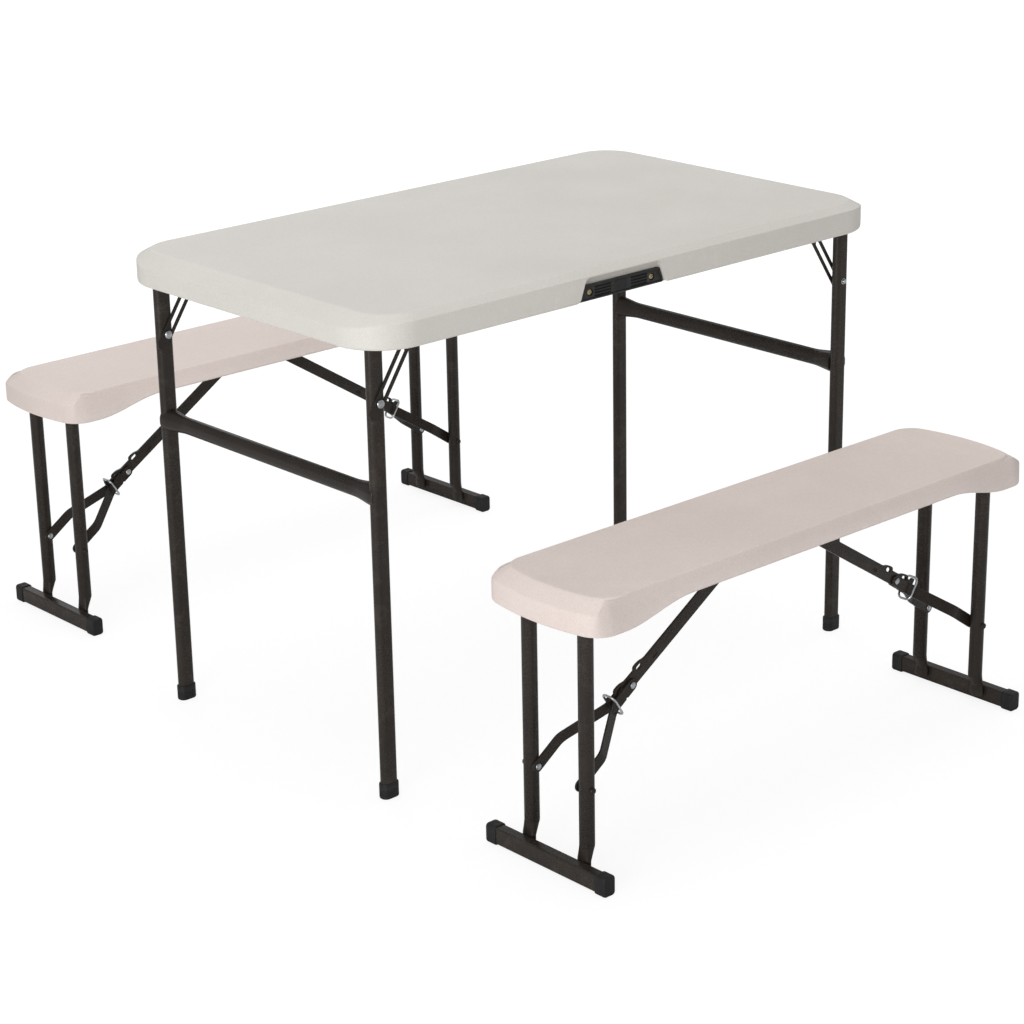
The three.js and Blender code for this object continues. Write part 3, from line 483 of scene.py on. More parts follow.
def tableTop(t, s):
    bm = bmesh.new()
    base = panelFace(bm, t["halfX"], t["halfY"], t["corner"], 16, t["rimBottom"] + t["soft"])
    edge = crease((0, 1.12), (0, 1), (0.08, 0.92)) + crease((0.92, 0.08), (1, 0), (1.1, 0))
    slopeEdge(bm, base, t, edge)
    low = t["rimBottom"]
    soft = t["soft"]
    flat = t["rimWidth"] - 2 * soft
    base = rollOver(bm, base, soft, soft, low + soft, -soft, 4)
    base = stepIn(bm, base, flat, flat, low)
    base = tuckIn(bm, base, soft, low, soft, 4)
    stepIn(bm, base, t["draft"], t["draft"], t["underside"])
    cutter = pocketCutter(s, t)
    for column in (-2, -1, 0, 1, 2):
        for row in (-1, 0, 1):
            r = t["pitRadius"]
            pit = turned([(0, 8), (r * 0.5, 8), (r * 0.6, 7), (r * 0.9, 1), (r * 1.02, -0.5), (r * 1.02, -3), (0, -3)], 24)
            addInto(cutter, pit, shift(column * t["pitPitch"], row * t["pitPitch"], t["underside"]))
    return carved(bm, cutter)


def carryHandle(s):
    points = [(-s["bottom"], 0, 4), (s["bottom"], 0, 4), (s["top"], s["height"], 4), (-s["top"], s["height"], 4)]
    bm = flatPlate(points, [], s["thick"] - 1, 0)
    front = max(bm.faces, key=lambda f: f.calc_center_median().z)
    for inset, z in ((0.3, s["thick"] - 0.3), (0.7, s["thick"]), (s["border"] - 1, s["thick"]),
                     (0.5, s["thick"] - s["sunk"])):
        bmesh.ops.inset_region(bm, faces=[front], thickness=inset, use_even_offset=True, use_boundary=True)
        for vert in front.verts:
            vert.co.z = z
    cutter = bmesh.new()
    floor = s["thick"] - s["sunk"]
    pitch = (s["height"] - 2 * s["border"] - 1.5) / 4
    middle = s["screwX"] - s["screwRadius"] - 3 - s["groove"] / 2
    for side in (-1, 1):
        bore = turned([(0, -s["grooveDepth"]), (s["screwRadius"] - 0.5, -s["grooveDepth"]),
                       (s["screwRadius"], 0.4 - s["grooveDepth"]), (s["screwRadius"], 3), (0, 3)], 32)
        addInto(cutter, bore, shift(side * s["screwX"], s["height"] / 2, floor))
        for groove in range(4):
            slot = bmesh.new()
            face = ovalFace(slot, s["groove"] / 2 - 0.5, s["grooveHeight"] / 2 - 0.4, 12, -s["grooveDepth"])
            ringUp(slot, face, [(s["groove"] / 2, s["grooveHeight"] / 2, 0.6 - s["grooveDepth"]),
                                (s["groove"] / 2, s["grooveHeight"] / 2, 2)])
            y = s["height"] / 2 + pitch * (groove - 1.5)
            addInto(cutter, slot, shift(side * middle, y, floor))
    bm = carved(bm, cutter)
    pad = bmesh.new()
    face = panelFace(pad, 12, 8, 4, 5, floor - 0.5)
    face = stepIn(pad, face, 0, 0, floor + 0.3)
    rollOver(pad, face, 0.5, 0.5, floor + 0.3, 0.4, 3)
    addInto(bm, pad, shift(0, s["height"] / 2, 0))
    bmesh.ops.transform(bm, matrix=shift(s["x"], s["front"] + s["thick"], s["foot"]) @ faceFront, verts=bm.verts)
    return bm


def handleScrew(s, side):
    bm = turned([(0, -1.2), (4.4, -1.2), (4.4, 0), (4.2, 0.5), (3.4, 1.1), (2, 1.5), (0, 1.6)], 28)
    for angle in (35, 125):
        blade = bmesh.new()
        face = ovalFace(blade, 2.6, 0.45, 12, 0.5)
        ringUp(blade, face, [(2.9, 0.6, 3)])
        bm = carved(bm, addInto(bmesh.new(), blade, turn("Z", angle)))
    place = shift(s["x"] + side * s["screwX"], s["front"] + s["sunk"] + s["grooveDepth"], s["foot"] + s["height"] / 2)
    bmesh.ops.transform(bm, matrix=place @ faceFront, verts=bm.verts)
    return bm


tablePlace = seatAt(tableMiddle, False)
makePiece("tabletopPanel", tableTop(topSpec, handleSpec), topSkin, tablePlace, "table", "tabletop", "table_top")
makePiece("carryGrip", carryHandle(handleSpec), gripSkin, tablePlace, "table", "grip", "carry_handle")
for side in (-1, 1):
    makePiece("gripScrew" + str(side + 1), handleScrew(handleSpec, side), brassSkin, tablePlace, "table", "zinc")
print("panel and handle made")

footMiddle = (middleOf("left_front_foot") - tableMiddle) / mm
nearY = footMiddle.y
farY = ((middleOf("left_rear_foot") - tableMiddle) / mm).y
legSpec = {"x": footMiddle.x, "halfX": 13.5, "halfY": 8, "wall": 1.5, "low": 4, "top": 707, "hinge": 698,
           "rivet": 605}
capSpec = {"wall": 2, "height": 24}
barSpec = {"height": 467.5, "tall": 13.5, "thick": 9, "endTall": 18, "endThick": 15.5, "flare": 55, "wrap": 4}
staySpec = {"run": 62, "drop": 93, "width": 9.25, "tail": 26, "slot": 4.1, "thick": 2.5, "inner": 8.4, "outer": 10.9}
earSpec = {"heel": 6.5, "toe": 11, "low": 687, "top": 719.7, "sheet": 2.5, "stayEar": 11.3, "backEar": 8.8}
stayReach = math.hypot(staySpec["run"], staySpec["drop"])
staySwing = 90 + math.degrees(math.atan2(staySpec["run"], staySpec["drop"]))


def legTube(s):
    bm = bmesh.new()
    face = ovalFace(bm, s["halfX"], s["halfY"], 32, s["low"])
    face = ringUp(bm, face, [(s["halfX"], s["halfY"], s["top"] - 0.4),
                             (s["halfX"] - 0.4, s["halfY"] - 0.4, s["top"])])
    wall = s["wall"]
    ringUp(bm, face, [(s["halfX"] - wall, s["halfY"] - wall, s["top"]), (s["halfX"] - wall, s["halfY"] - wall, 620)])
    return bm


def rivetTail(s):  # peened end of the stay's rivet, with its washer
    bm = turned([(0, -1), (4.9, -1), (5.1, 0.2), (4.9, 0.8), (3.7, 1), (3.7, 3.6), (3.3, 4.1), (1.6, 4.3), (0, 3.9)], 28)
    bmesh.ops.transform(bm, matrix=shift(0, s["halfY"], s["rivet"]) @ turn("X", -90), verts=bm.verts)
    return bm


def legCap(s, c):
    bm = bmesh.new()
    wide, deep = s["halfX"] + c["wall"], s["halfY"] + c["wall"]
    face = ovalFace(bm, wide - 2.4, deep - 2.4, 32, 0)
    rings = [(wide - 1.2, deep - 1.2, 0.3), (wide - 0.4, deep - 0.4, 1), (wide, deep, 2.4)]
    for z in (6, 9.5, 13):
        rings += [(wide, deep, z), (wide - 0.5, deep - 0.5, z + 0.5), (wide - 0.5, deep - 0.5, z + 1.1),
                  (wide, deep, z + 1.6)]
    rings += [(wide, deep, c["height"] - 1.4), (wide - 0.4, deep - 0.4, c["height"] - 0.4),
              (wide - 1.2, deep - 1.2, c["height"]), (s["halfX"] - 0.2, s["halfY"] - 0.2, c["height"] - 0.6)]
    ringUp(bm, face, rings)
    return bm


def crossbar(s, b):
    bm = bmesh.new()
    low, high = nearY - b["wrap"], farY + b["wrap"]
    rings = [(b["endThick"] - 0.8, b["endTall"] - 1.4, low)]
    for step in range(0, 11):
        ease = 1 - smooth(0, 10, step)
        rings.append((b["thick"] + (b["endThick"] - b["thick"]) * ease,
                      b["tall"] + (b["endTall"] - b["tall"]) * ease, low + 0.9 + b["flare"] * step / 10))
    rings += [(x, y, high + low - z) for x, y, z in reversed(rings)]
    face = ovalFace(bm, rings[0][0], rings[0][1], 36, low)
    ringUp(bm, face, rings[1:])
    bmesh.ops.transform(bm, matrix=shift(s["x"], 0, b["height"]) @ turn("X", -90), verts=bm.verts)
    cutter = bmesh.new()
    for y, inward in ((nearY, 1), (farY, -1)):  # the cheek on the table's side stops at the leg
        block = bmesh.new()
        stepIn(block, panelFace(block, 14, 12, 1, 2, -24), 0, 0, 24)
        addInto(cutter, block, shift(s["x"] + 14, y - inward * 5, b["height"]))
    return carved(bm, cutter)


def hingeRod(s, e):
    bm = bmesh.new()
    low = nearY - e["stayEar"] - e["sheet"] - 1.5
    high = farY + e["backEar"] + e["sheet"] + 1.5
    face = ovalFace(bm, 2.6, 2.6, 20, low)
    ringUp(bm, face, [(3.5, 3.5, low + 0.4), (4, 4, low + 1.2), (4, 4, high - 1.2), (3.5, 3.5, high - 0.4),
                      (2.6, 2.6, high)])
    bmesh.ops.transform(bm, matrix=shift(s["x"], 0, s["hinge"]) @ turn("X", -90), verts=bm.verts)
    return bm


def cornerBracket(s, e, y):
    bm = bmesh.new()
    half = e["sheet"] / 2
    startX, endX = s["x"] - e["heel"], s["x"] + staySpec["run"] + e["toe"]
    lowY, highY = -e["stayEar"] - half, e["backEar"] + half
    verts = bmesh.ops.create_grid(bm, x_segments=1, y_segments=1, size=0.5)["verts"]
    bmesh.ops.scale(bm, vec=(endX - startX, highY - lowY, 1), verts=verts)
    bmesh.ops.translate(bm, vec=((startX + endX) / 2, (lowY + highY) / 2, e["top"] - half), verts=verts)
    folds = [edge for edge in bm.edges if abs(edge.verts[0].co.y - edge.verts[1].co.y) < 1e-6]
    got = bmesh.ops.extrude_edge_only(bm, edges=folds)
    hems = newVerts(got)
    bmesh.ops.translate(bm, vec=(0, 0, e["low"] - e["top"] + half), verts=hems)
    toes = [v for v in hems if v.co.x > (startX + endX) / 2]
    heels = [v for v in hems if v.co.x < (startX + endX) / 2]
    bmesh.ops.bevel(bm, geom=toes, offset=e["toe"], offset_type="OFFSET", affect="VERTICES", segments=8, profile=0.5,
                    material=-1)
    bmesh.ops.bevel(bm, geom=heels, offset=e["heel"], offset_type="OFFSET", affect="VERTICES", segments=6,
                    profile=0.5, material=-1)
    folds = [edge for edge in bm.edges if len(edge.link_faces) == 2]
    bmesh.ops.bevel(bm, geom=folds, offset=2.2, offset_type="OFFSET", affect="EDGES", segments=4, profile=0.5,
                    material=-1)
    bmesh.ops.recalc_face_normals(bm, faces=bm.faces)
    thicken(bm, e["sheet"])
    addInto(bm, domed(5, 2, 4, 20), shift(s["x"] + staySpec["run"], lowY - half, s["hinge"]) @ faceFront)
    bmesh.ops.translate(bm, vec=(0, y, 0), verts=bm.verts)
    return bm


def thicken(bm, sheet):  # open sheet to a closed one, half the thickness to either side
    skinFaces = bm.faces[:]
    bm.normal_update()
    outward = {vert: vert.normal.copy() for vert in bm.verts}
    fresh = newVerts(bmesh.ops.extrude_face_region(bm, geom=skinFaces))
    for vert, way in outward.items():
        mate = min(fresh, key=lambda other: (other.co - vert.co).length_squared)
        fresh.remove(mate)
        mate.co += way * sheet / 2
        vert.co -= way * sheet / 2
    bmesh.ops.recalc_face_normals(bm, faces=bm.faces)


def stayPlate(s, y):
    wide = s["width"]
    reach = stayReach + s["tail"]
    points = [(-wide, -wide, wide - 0.2), (reach, -wide, wide - 0.2), (reach, wide, wide - 0.2), (-wide, wide, wide - 0.2)]
    folded = s["drop"] - s["run"]
    holes = [((folded + stayReach) / 2, 0, (stayReach - folded) / 2, s["slot"])]
    bm = flatPlate(points, holes, s["thick"], 0.5)
    place = shift(legSpec["x"] + s["run"], y - s["inner"], legSpec["hinge"]) @ turn("Y", staySwing) @ faceFront
    bmesh.ops.transform(bm, matrix=place, verts=bm.verts)
    return bm


def stayRivet(s, y):
    bm = domed(6.5, 4.5, s["outer"] - s["inner"] + 0.3, 28)
    place = shift(legSpec["x"], y - s["outer"] - 0.3, legSpec["rivet"]) @ faceFront
    bmesh.ops.transform(bm, matrix=place, verts=bm.verts)
    return bm


for end, halfTurned in (("left", False), ("right", True)):
    place = seatAt(tableMiddle, halfTurned)
    near, far = ("rear", "front") if halfTurned else ("front", "rear")
    for side, y in ((near, nearY), (far, farY)):
        tag = end + side.capitalize()
        node = end + "_" + side + "_"
        onLeg = place @ shift(legSpec["x"], y, 0)
        makePiece(tag + "Leg", legTube(legSpec), steelSkin, onLeg, end + "_legs", "steel", node + "leg")
        makePiece(tag + "RivetTail", rivetTail(legSpec), zincSkin, onLeg, end + "_legs", "zinc")
        makePiece(tag + "Foot", legCap(legSpec, capSpec), rubberSkin, onLeg, end + "_legs", "rubber", node + "foot")
        makePiece(tag + "Bracket", cornerBracket(legSpec, earSpec, y), steelSkin, place, "table", "steel",
                  node + "bracket")
        makePiece(tag + "Stay", stayPlate(staySpec, y), steelSkin, place, node + "stay", "steel", node + "stay")
        makePiece(tag + "StayRivet", stayRivet(staySpec, y), zincSkin, place, node + "stay_rivet", "zinc",
                  node + "stay_rivet")
    makePiece(end + "Crossbar", crossbar(legSpec, barSpec), steelSkin, place, end + "_legs", "steel", end + "_crossbar")
    makePiece(end + "HingeRod", hingeRod(legSpec, earSpec), steelSkin, place, "table", "steel", end + "_hinge_rod")
print("table legs made")

seatSpec = {"halfX": 465, "halfY": 114, "corner": 28, "crown": 17, "height": 420.5, "underside": 403, "endDepth": 47.5,
            "midDepth": 27, "wall": 11, "soft": 3, "endRun": 25, "endDrop": 16, "sideRun": 13, "archStart": 288,
            "archEnd": 416, "lugIn": 68.5, "lugThick": 12, "lugReach": 11}
frameSpec = {"x": -421, "y": 55.5, "radius": 11, "hinge": 384, "top": 392, "pinch": 5.5, "pinchWide": 12.5,
             "pinchTop": 48, "pinchEnd": 12, "barX": -441, "barLong": 118.5, "barTall": 13, "barThick": 9, "barLift": 2, "barRound": 3,
             "rod": 5, "rivet": 133}
braceSpec = {"strapAngle": 32.52, "strap": 286.4, "armAngle": 34.64, "arm": 167.1, "below": 8, "above": 12, "tail": 45,
             "tailRise": 8, "lobe": 4.6, "eyelets": (25.5, -19), "thick": 4, "armThick": 3, "armHalf": 9,
             "armStraight": 42, "armToe": 52, "notch": 18, "pivot": 42, "pivotHeight": 382, "ear": 7}
knuckle = Matrix.Translation((-283.5, 0, 228))
strapSwing = knuckle @ turn("Y", -braceSpec["strapAngle"])
armSwing = knuckle @ turn("Y", -braceSpec["armAngle"])


def benchSeat(s):
    bm = bmesh.new()
    home = bm.verts.layers.float_vector.new("home")
    low = s["height"] - s["endDepth"]
    soft = s["soft"]

    def depth(x):  # of the skirt, which arches up towards the middle
        return s["midDepth"] + (s["endDepth"] - s["midDepth"]) * smooth(s["archStart"], s["archEnd"], abs(x))
    base = panelFace(bm, s["halfX"], s["halfY"], s["corner"], 10, low + soft)
    for edge in [e for e in base.edges if e.calc_length() > 50]:
        bmesh.ops.bisect_edges(bm, edges=[edge], cuts=round(edge.calc_length() / 14), edge_percents={})
    for vert in bm.verts:  # every ring that follows takes this over
        vert[home] = vert.co
    ends = crease((0, 1.12), (0, 1), (0.08, 0.92)) + crease((0.92, 0.08), (1, 0), (1.1, 0))
    sides = [(1 - fall / 0.86, fall) for fall in (0.14, 0.125, 0.11, 0.095, 0.08)] + crease((0.93, 0.06), (1, 0), (1.06, 0))
    slopeSeat(bm, base, s, home, ends, sides, depth)
    base = rollOver(bm, base, soft, soft, low + soft, -soft, 3)
    base = stepIn(bm, base, s["wall"] - 2 * soft, s["wall"] - 2 * soft, low)
    base = tuckIn(bm, base, soft, low, soft, 3)
    for vert in bm.verts:
        if vert.co.z < low + soft + 0.01:
            vert.co.z += s["endDepth"] - depth(vert.co.x)
    base = stepIn(bm, base, 4, 4, s["underside"] - 1)
    stepIn(bm, base, 1, 1, s["underside"])
    for vert in bm.verts:  # the ends bow out
        vert.co.x *= 1 - s["crown"] / s["halfX"] * (vert[home].y / s["halfY"]) ** 2
    bm.verts.layers.float_vector.remove(home)
    for end in (-1, 1):
        for flank in (-1, 1):
            lug = bmesh.new()
            face = panelFace(lug, s["lugReach"], 15, 5, 5, 0)
            face = stepIn(lug, face, 0, 0, s["lugThick"] - 0.6)
            rollOver(lug, face, 0.6, 0.6, s["lugThick"] - 0.6, 0.6, 3)
            inner = s["lugIn"] * flank if flank < 0 else s["lugIn"] + s["lugThick"]
            addInto(bm, lug, shift(end * 421, inner, s["underside"] - 14) @ faceFront)
    return bm


def footTube(s, y):
    bm = bmesh.new()
    flatX = s["barX"] + s["barThick"] + s["pinch"] - 0.2 - s["x"]
    bend = s["barLift"] + 2 * s["barTall"]
    face = ovalFace(bm, s["radius"], s["radius"], 32, s["top"])
    rings = [(s["radius"], s["radius"], s["pinchTop"] + 2, 0)]
    for share in (0.03, 0.1, 0.5, 0.9, 0.97):  # straight taper from the round tube to the pressed end
        rings.append((s["radius"] + (s["pinch"] - s["radius"]) * share,
                      s["radius"] + (s["pinchWide"] - s["radius"]) * share,
                      s["pinchTop"] + (bend - s["pinchTop"]) * share, flatX * share))
    rings += [(s["pinch"], s["pinchWide"], bend - 2, flatX), (s["pinch"], s["pinchWide"], s["pinchEnd"] + 0.6, flatX),
              (s["pinch"] - 0.6, s["pinchWide"] - 0.6, s["pinchEnd"], flatX)]
    ringUp(bm, face, rings)
    bmesh.ops.translate(bm, vec=(s["x"], y, 0), verts=bm.verts)
    return bm


def footBar(s):
    bm = bmesh.new()
    face = panelFace(bm, s["barThick"], s["barTall"], s["barRound"], 5, -s["barLong"])
    stepIn(bm, face, 0, 0, s["barLong"])
    bmesh.ops.transform(bm, matrix=shift(s["barX"], 0, s["barLift"] + s["barTall"]) @ turn("X", -90), verts=bm.verts)
    return bm


def legFrame(s):
    bm = footBar(s)
    for flank in (-1, 1):
        addInto(bm, footTube(s, flank * s["y"]), Matrix())
        addInto(bm, domed(4.9, 4.5, 1.5, 20),
                shift(s["x"], flank * (s["y"] + s["radius"]), s["rivet"]) @ turn("X", -90 * flank))
    rod = bmesh.new()
    face = ovalFace(rod, s["rod"] - 0.8, s["rod"] - 0.8, 20, -80.5)
    ringUp(rod, face, [(s["rod"], s["rod"], -79.7), (s["rod"], s["rod"], 79.7), (s["rod"] - 0.8, s["rod"] - 0.8, 80.5)])
    addInto(bm, rod, shift(s["x"], 0, s["hinge"]) @ turn("X", -90))
    return bm


def barCap(s, flank):
    bm = bmesh.new()
    wide, tall = s["barThick"] + 2, s["barTall"] + 2
    face = panelFace(bm, wide - 3, tall - 3, s["barRound"] + 1, 6, 0)
    rings = [(wide - 1.7, tall - 1.7, 0.3), (wide - 0.7, tall - 0.7, 1.1), (wide - 0.2, tall - 0.2, 2.2), (wide, tall, 3.4)]
    for z in (6, 9, 12):
        rings += [(wide, tall, z), (wide - 0.4, tall - 0.4, z + 0.4), (wide - 0.4, tall - 0.4, z + 0.9),
                  (wide, tall, z + 1.3)]
    rings += [(wide, tall, 18.4), (wide - 0.3, tall - 0.3, 19.4), (wide - 1.1, tall - 1.1, 20),
              (s["barThick"] - 0.2, s["barTall"] - 0.2, 19.4)]
    ringUp(bm, face, rings)
    place = shift(s["barX"], flank * (s["barLong"] + 2), s["barLift"] + s["barTall"]) @ turn("X", 90 * flank)
    bmesh.ops.transform(bm, matrix=place, verts=bm.verts)
    return bm


def strapBar(b):
    low, high, crest = -b["below"], b["above"], b["above"] + b["lobe"]
    round = (high - low) / 2
    reach = b["strap"] + round
    points = [(-b["tail"], low, 1), (reach, low, round - 0.2), (reach, high, round - 0.2)]
    for x in b["eyelets"]:
        points += [(x + 14, high, 4), (x + 4, crest, 5), (x - 9, crest, 4), (x - 10, high, 1)]
    rise = b["tailRise"] - b["tail"]
    points += [(rise, high, 1), (rise - b["lobe"] / 2, crest, 1), (-b["tail"], crest, 1)]
    bm = flatPlate(points, [(x, 10, 2.75, 3.25) for x in b["eyelets"]], b["thick"], 0.5)
    cutter = bmesh.new()
    for flip in (0, 180):  # dimple pressed in both faces
        pit = bmesh.new()
        face = ovalFace(pit, 4.9, 1.3, 20, -1.2)
        ringUp(pit, face, [(5.5, 1.8, -0.7), (5.8, 2.1, 0), (5.8, 2.1, 1)])
        addInto(cutter, pit, shift(57, 0, b["thick"] / 2) @ turn("X", flip) @ shift(0, 0, b["thick"] / 2))
    bm = carved(bm, cutter)
    bmesh.ops.transform(bm, matrix=strapSwing @ shift(0, b["thick"] / 2, 0) @ faceFront, verts=bm.verts)
    return bm


def knuckleRivet(b, flank):
    bm = domed(5, 2.6, 1, 28)
    y = b["thick"] / 2 + 0.4 + b["armThick"] + 0.3
    bmesh.ops.transform(bm, matrix=strapSwing @ shift(0, flank * y, 0) @ turn("X", -90 * flank), verts=bm.verts)
    return bm


def armPlace(flank):
    return armSwing @ (Matrix.Scale(-1, 4, (0, 1, 0)) if flank < 0 else Matrix()) @ faceFront


def armSide(b):  # sideways place of an arm's inner face at the tube
    return frameSpec["y"] - frameSpec["radius"] - 0.3 - b["armThick"]


def armRivet(b, flank):
    bm = domed(4.9, 3, 0.5, 24)
    bmesh.ops.transform(bm, matrix=armPlace(flank) @ shift(-b["arm"], 0, -armSide(b)), verts=bm.verts)
    return bm


def braceArm(b, flank):
    half = b["armHalf"]
    toe = b["arm"] - b["armToe"]
    points = [(half, -half, half - 0.2), (half, half, half - 0.2), (-b["arm"] - half, half, half - 0.2),
              (-b["arm"] - half, -half, half - 0.2), (-b["notch"] - 2.5, -half, 0), (-b["notch"], 2 - half, 0.5),
              (2.5 - b["notch"], -half, 0)]
    bm = flatPlate(points, [], b["armThick"], 0.45)
    inner = b["thick"] / 2 + 0.4
    wide = armSide(b)
    bend = 7
    stations = [-b["armStraight"] + bend * k / 3 for k in range(-3, 4)] + [-toe + bend * k / 3 for k in range(-3, 4)]
    slicedX(bm, stations)
    slope = (wide - inner) / (toe - b["armStraight"])

    def spread(x):  # sideways place of the bar along its length
        out = 0
        for start, change in ((b["armStraight"], slope), (toe, -slope)):
            past = -x - start
            if past > bend:
                out += change * past
            elif past > -bend:
                out += change * (past + bend) ** 2 / (4 * bend)
        return out
    for vert in bm.verts:
        vert.co.z = vert.co.z - b["armThick"] - inner - spread(vert.co.x)
    bmesh.ops.transform(bm, matrix=armPlace(flank), verts=bm.verts)
    return bm


def lockRing(r):
    bm = bmesh.new()
    tallRun, wideRun = r["halfLong"] - r["corner"], r["halfWide"] - r["corner"]
    verts = bmesh.ops.create_circle(bm, cap_ends=False, segments=12, radius=r["wire"])["verts"]
    bmesh.ops.translate(bm, vec=(r["halfWide"], 0, -tallRun), verts=verts)
    edges = bm.edges[:]
    middles = [(wideRun, tallRun), (-wideRun, tallRun), (-wideRun, -tallRun), (wideRun, -tallRun)]
    runs = [2 * tallRun, 2 * wideRun, 2 * tallRun, 2 * wideRun]
    ways = [(0, 1), (-1, 0), (0, -1), (1, 0)]
    for (midX, midZ), run, (wayX, wayZ) in zip(middles, runs, ways):
        got = bmesh.ops.extrude_edge_only(bm, edges=edges)
        bmesh.ops.translate(bm, vec=(wayX * run, 0, wayZ * run), verts=newVerts(got))
        edges = [g for g in got["geom"] if isinstance(g, bmesh.types.BMEdge)]
        rim = newVerts(got) + edges
        last = bmesh.ops.spin(bm, geom=rim, cent=(midX, 0, midZ), axis=(0, -1, 0), angle=math.pi / 2, steps=8)
        edges = [g for g in last["geom_last"] if isinstance(g, bmesh.types.BMEdge)]
    bmesh.ops.remove_doubles(bm, verts=bm.verts, dist=0.02)
    bmesh.ops.transform(bm, matrix=strapSwing @ shift(-r["below"], 0, r["hang"]) @ turn("Z", 90), verts=bm.verts)
    return bm


def braceBracket(b):
    bm = bmesh.new()
    top = 402.7
    reach = b["pivot"] + b["ear"]
    low = b["pivotHeight"] - top - b["ear"]
    face = panelFace(bm, reach, 16.4, 4, 5, top)
    face = stepIn(bm, face, 0, 0, top - 2.1)
    rollOver(bm, face, 0.4, 0.4, top - 2.1, -0.4, 2)
    for inner in (-2.4, 4.9):
        points = [(-reach, -1, 0), (-reach, low, b["ear"] - 0.2), (reach, low, b["ear"] - 0.2), (reach, -1, 0)]
        addInto(bm, flatPlate(points, [], 2.5, 0.5), shift(0, inner, top) @ faceFront)
    for end in (-1, 1):
        for flank in (-1, 1):
            addInto(bm, domed(4.6, 1.6, 3, 20),
                    shift(end * b["pivot"], flank * 4.9, b["pivotHeight"]) @ turn("X", -90 * flank))
    for x in (-34, 0, 34):
        for y in (-11, 11):
            addInto(bm, domed(3.2, 1.4, 0.5, 16), shift(x, y, top - 2.5) @ turn("X", 180))
    return bm


ringSpec = {"wire": 1.75, "halfLong": 18.2, "halfWide": 11.75, "corner": 8, "below": 39, "hang": 0.45}
for bench in ("front_bench", "rear_bench"):
    middle = middleOf(bench + "_seat")
    word = bench.split("_")[0] + "Bench"
    place = seatAt(middle, False)
    makePiece(word + "Seat", benchSeat(seatSpec), seatSkin, place, bench + "_top", "seat", bench + "_seat")
    makePiece(word + "BraceBracket", braceBracket(braceSpec), steelSkin, place, bench + "_top", "steel",
              bench + "_brace_bracket")
    for end, halfTurned in (("left", False), ("right", True)):
        place = seatAt(middle, halfTurned)
        node = bench + "_" + end + "_"
        tag = word + end.capitalize()
        makePiece(tag + "Frame", legFrame(frameSpec), steelSkin, place, node + "legs", "steel", node + "leg_frame")
        makePiece(tag + "Strap", strapBar(braceSpec), steelSkin, place, node + "strap", "steel", node + "strap")
        makePiece(tag + "Ring", lockRing(ringSpec), zincSkin, place, node + "ring", "zinc", node + "lock_ring")
        for flank in (-1, 1):
            side = "front" if (flank < 0) != halfTurned else "rear"
            part = tag + side.capitalize()
            makePiece(part + "Cap", barCap(frameSpec, flank), rubberSkin, place, node + "legs", "rubber",
                      node + side + "_cap")
            makePiece(part + "Arm", braceArm(braceSpec, flank), steelSkin, place, node + "arms", "steel",
                      node + side + "_arm")
            makePiece(part + "ArmRivet", armRivet(braceSpec, flank), zincSkin, place, node + "arms", "zinc")
            makePiece(part + "Knuckle", knuckleRivet(braceSpec, flank), zincSkin, place, node + "strap", "zinc")
print("benches made")


def studioFloor():
    bm = bmesh.new()
    bmesh.ops.create_grid(bm, x_segments=1, y_segments=1, size=30)
    mesh = bpy.data.meshes.new("studioFloor")
    bm.to_mesh(mesh)
    bm.free()
    skin = bpy.data.materials.new("paleFloor")
    skin.use_nodes = True
    skin.node_tree.nodes.clear()
    flow = Flow(skin.node_tree)
    mottle = flow.node("TexNoise", {}, {"Vector": flow.node("TexCoord", {}, {}, 3), "Scale": 3, "Detail": 3})
    tone = mottle.blend((0.8, 0.8, 0.8, 1), (0.84, 0.84, 0.84, 1))
    matt = flow.node("BsdfDiffuse", {}, {"Color": tone})
    glow = flow.node("Emission", {}, {"Color": (1, 1, 1, 1), "Strength": 1.14})
    far = flow.node("VectorMath", {"operation": "LENGTH"}, {0: flow.node("TexCoord", {}, {}, 3)}, 1).window(1.2, 3)
    seen = flow.node("LightPath", {}, {}, 0) * (0.76 + 0.24 * far)
    flow.node("OutputMaterial", {}, {"Surface": flow.node("MixShader", {}, {0: seen, 1: matt, 2: glow})})
    mesh.materials.append(skin)
    floor = bpy.data.objects.new("studioFloor", mesh)
    scene.collection.objects.link(floor)


def studioWorld():
    world = bpy.data.worlds.new("studio")
    world.use_nodes = True
    world.node_tree.nodes.clear()
    scene.world = world
    flow = Flow(world.node_tree)
    seen = flow.node("LightPath", {}, {}, 0)
    soft, white = (flow.node("Background", {}, {"Color": (1, 1, 1, 1), "Strength": s}) for s in (0.45, 1))
    flow.node("OutputWorld", {}, {"Surface": flow.node("MixShader", {}, {0: seen, 1: soft, 2: white})})


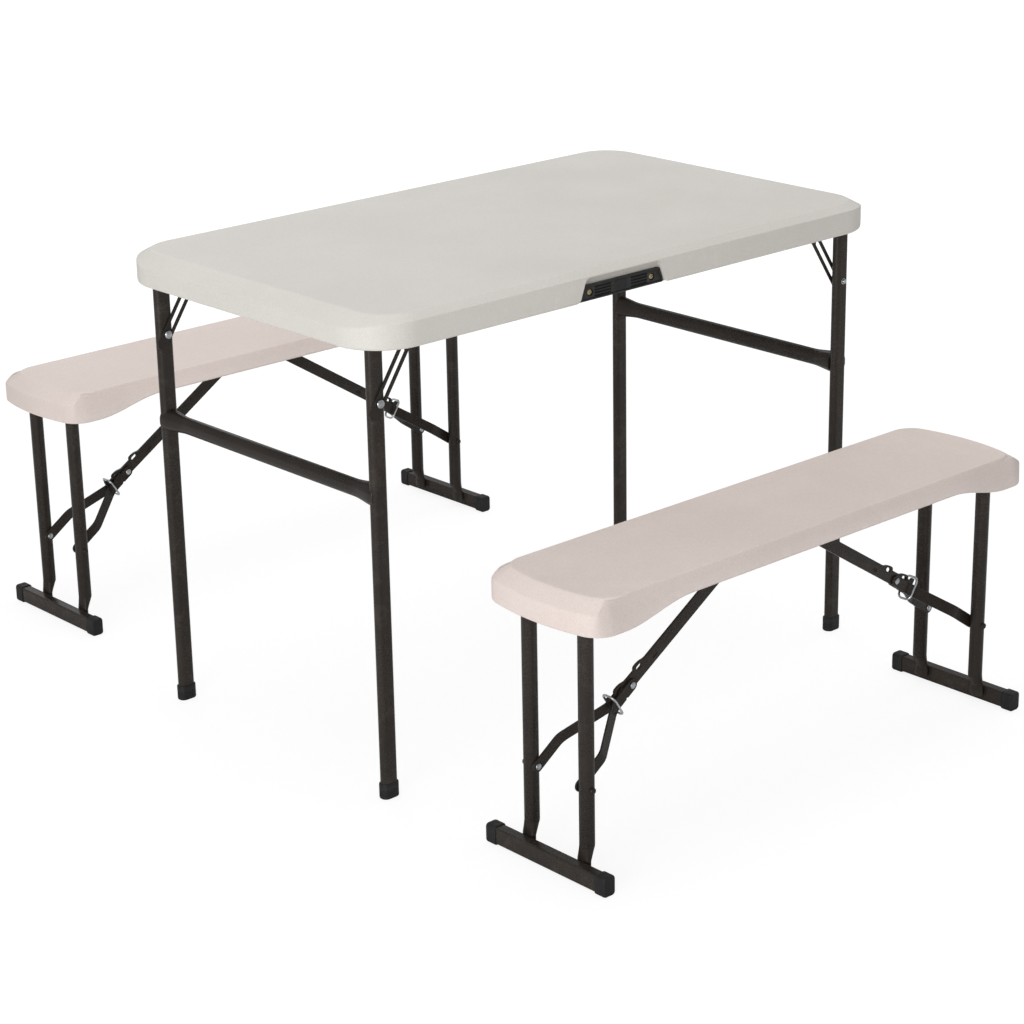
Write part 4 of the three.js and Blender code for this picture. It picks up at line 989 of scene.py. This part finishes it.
def softLamp(name, spot, aim, size, power):
    lamp = bpy.data.lights.new(name, "AREA")
    lamp.shape = "DISK"
    lamp.size = size
    lamp.energy = power
    obj = bpy.data.objects.new(name, lamp)
    obj.location = spot
    obj.rotation_euler = (Vector(aim) - Vector(spot)).to_track_quat("-Z", "Y").to_euler()
    scene.collection.objects.link(obj)


def photoCamera(c):
    yaw, pitch, roll = (math.radians(c[key]) for key in ("yaw", "pitch", "roll"))
    ahead = Vector((math.sin(yaw) * math.cos(pitch), math.cos(yaw) * math.cos(pitch), -math.sin(pitch)))
    level = Vector((math.cos(yaw), -math.sin(yaw), 0))
    upright = level.cross(ahead)
    right = level * math.cos(roll) + upright * math.sin(roll)
    up = upright * math.cos(roll) - level * math.sin(roll)
    lens = bpy.data.cameras.new("photoCamera")
    lens.sensor_width = 36
    lens.lens = c["focal"] / 1024 * 36
    obj = bpy.data.objects.new("photoCamera", lens)
    place = Matrix((right, up, -ahead)).transposed().to_4x4()
    place.translation = Vector(c["spot"]) * mm
    obj.matrix_world = place
    scene.collection.objects.link(obj)
    scene.camera = obj


cameraSpec = {"yaw": 41.908, "pitch": 19.64, "roll": -1.076, "focal": 2648.4, "spot": (-2686.5, -3055.4, 1696)}
studioFloor()
studioWorld()
softLamp("keyLamp", (-4, -2, 1), (0, -0.3, 0.4), 2, 80)
softLamp("overheadLamp", (0.3, 0.2, 4.8), (0, 0, 0.5), 4, 66)
softLamp("backLamp", (1.5, 4.2, 3.4), (0, 0, 0.5), 3, 31)
softLamp("rightLamp", (4.2, -0.5, 2.6), (0, 0, 0.4), 3, 18)
photoCamera(cameraSpec)
scene.view_settings.view_transform = "Standard"
print("stage set")

low = Vector((1e9, 1e9, 1e9))
high = -low
for obj in scene.objects:
    if obj.type == "MESH" and obj.name != "studioFloor" and not obj.hide_render:
        for vert in obj.data.vertices:
            for axis in range(3):
                low[axis] = min(low[axis], vert.co[axis])
                high[axis] = max(high[axis], vert.co[axis])
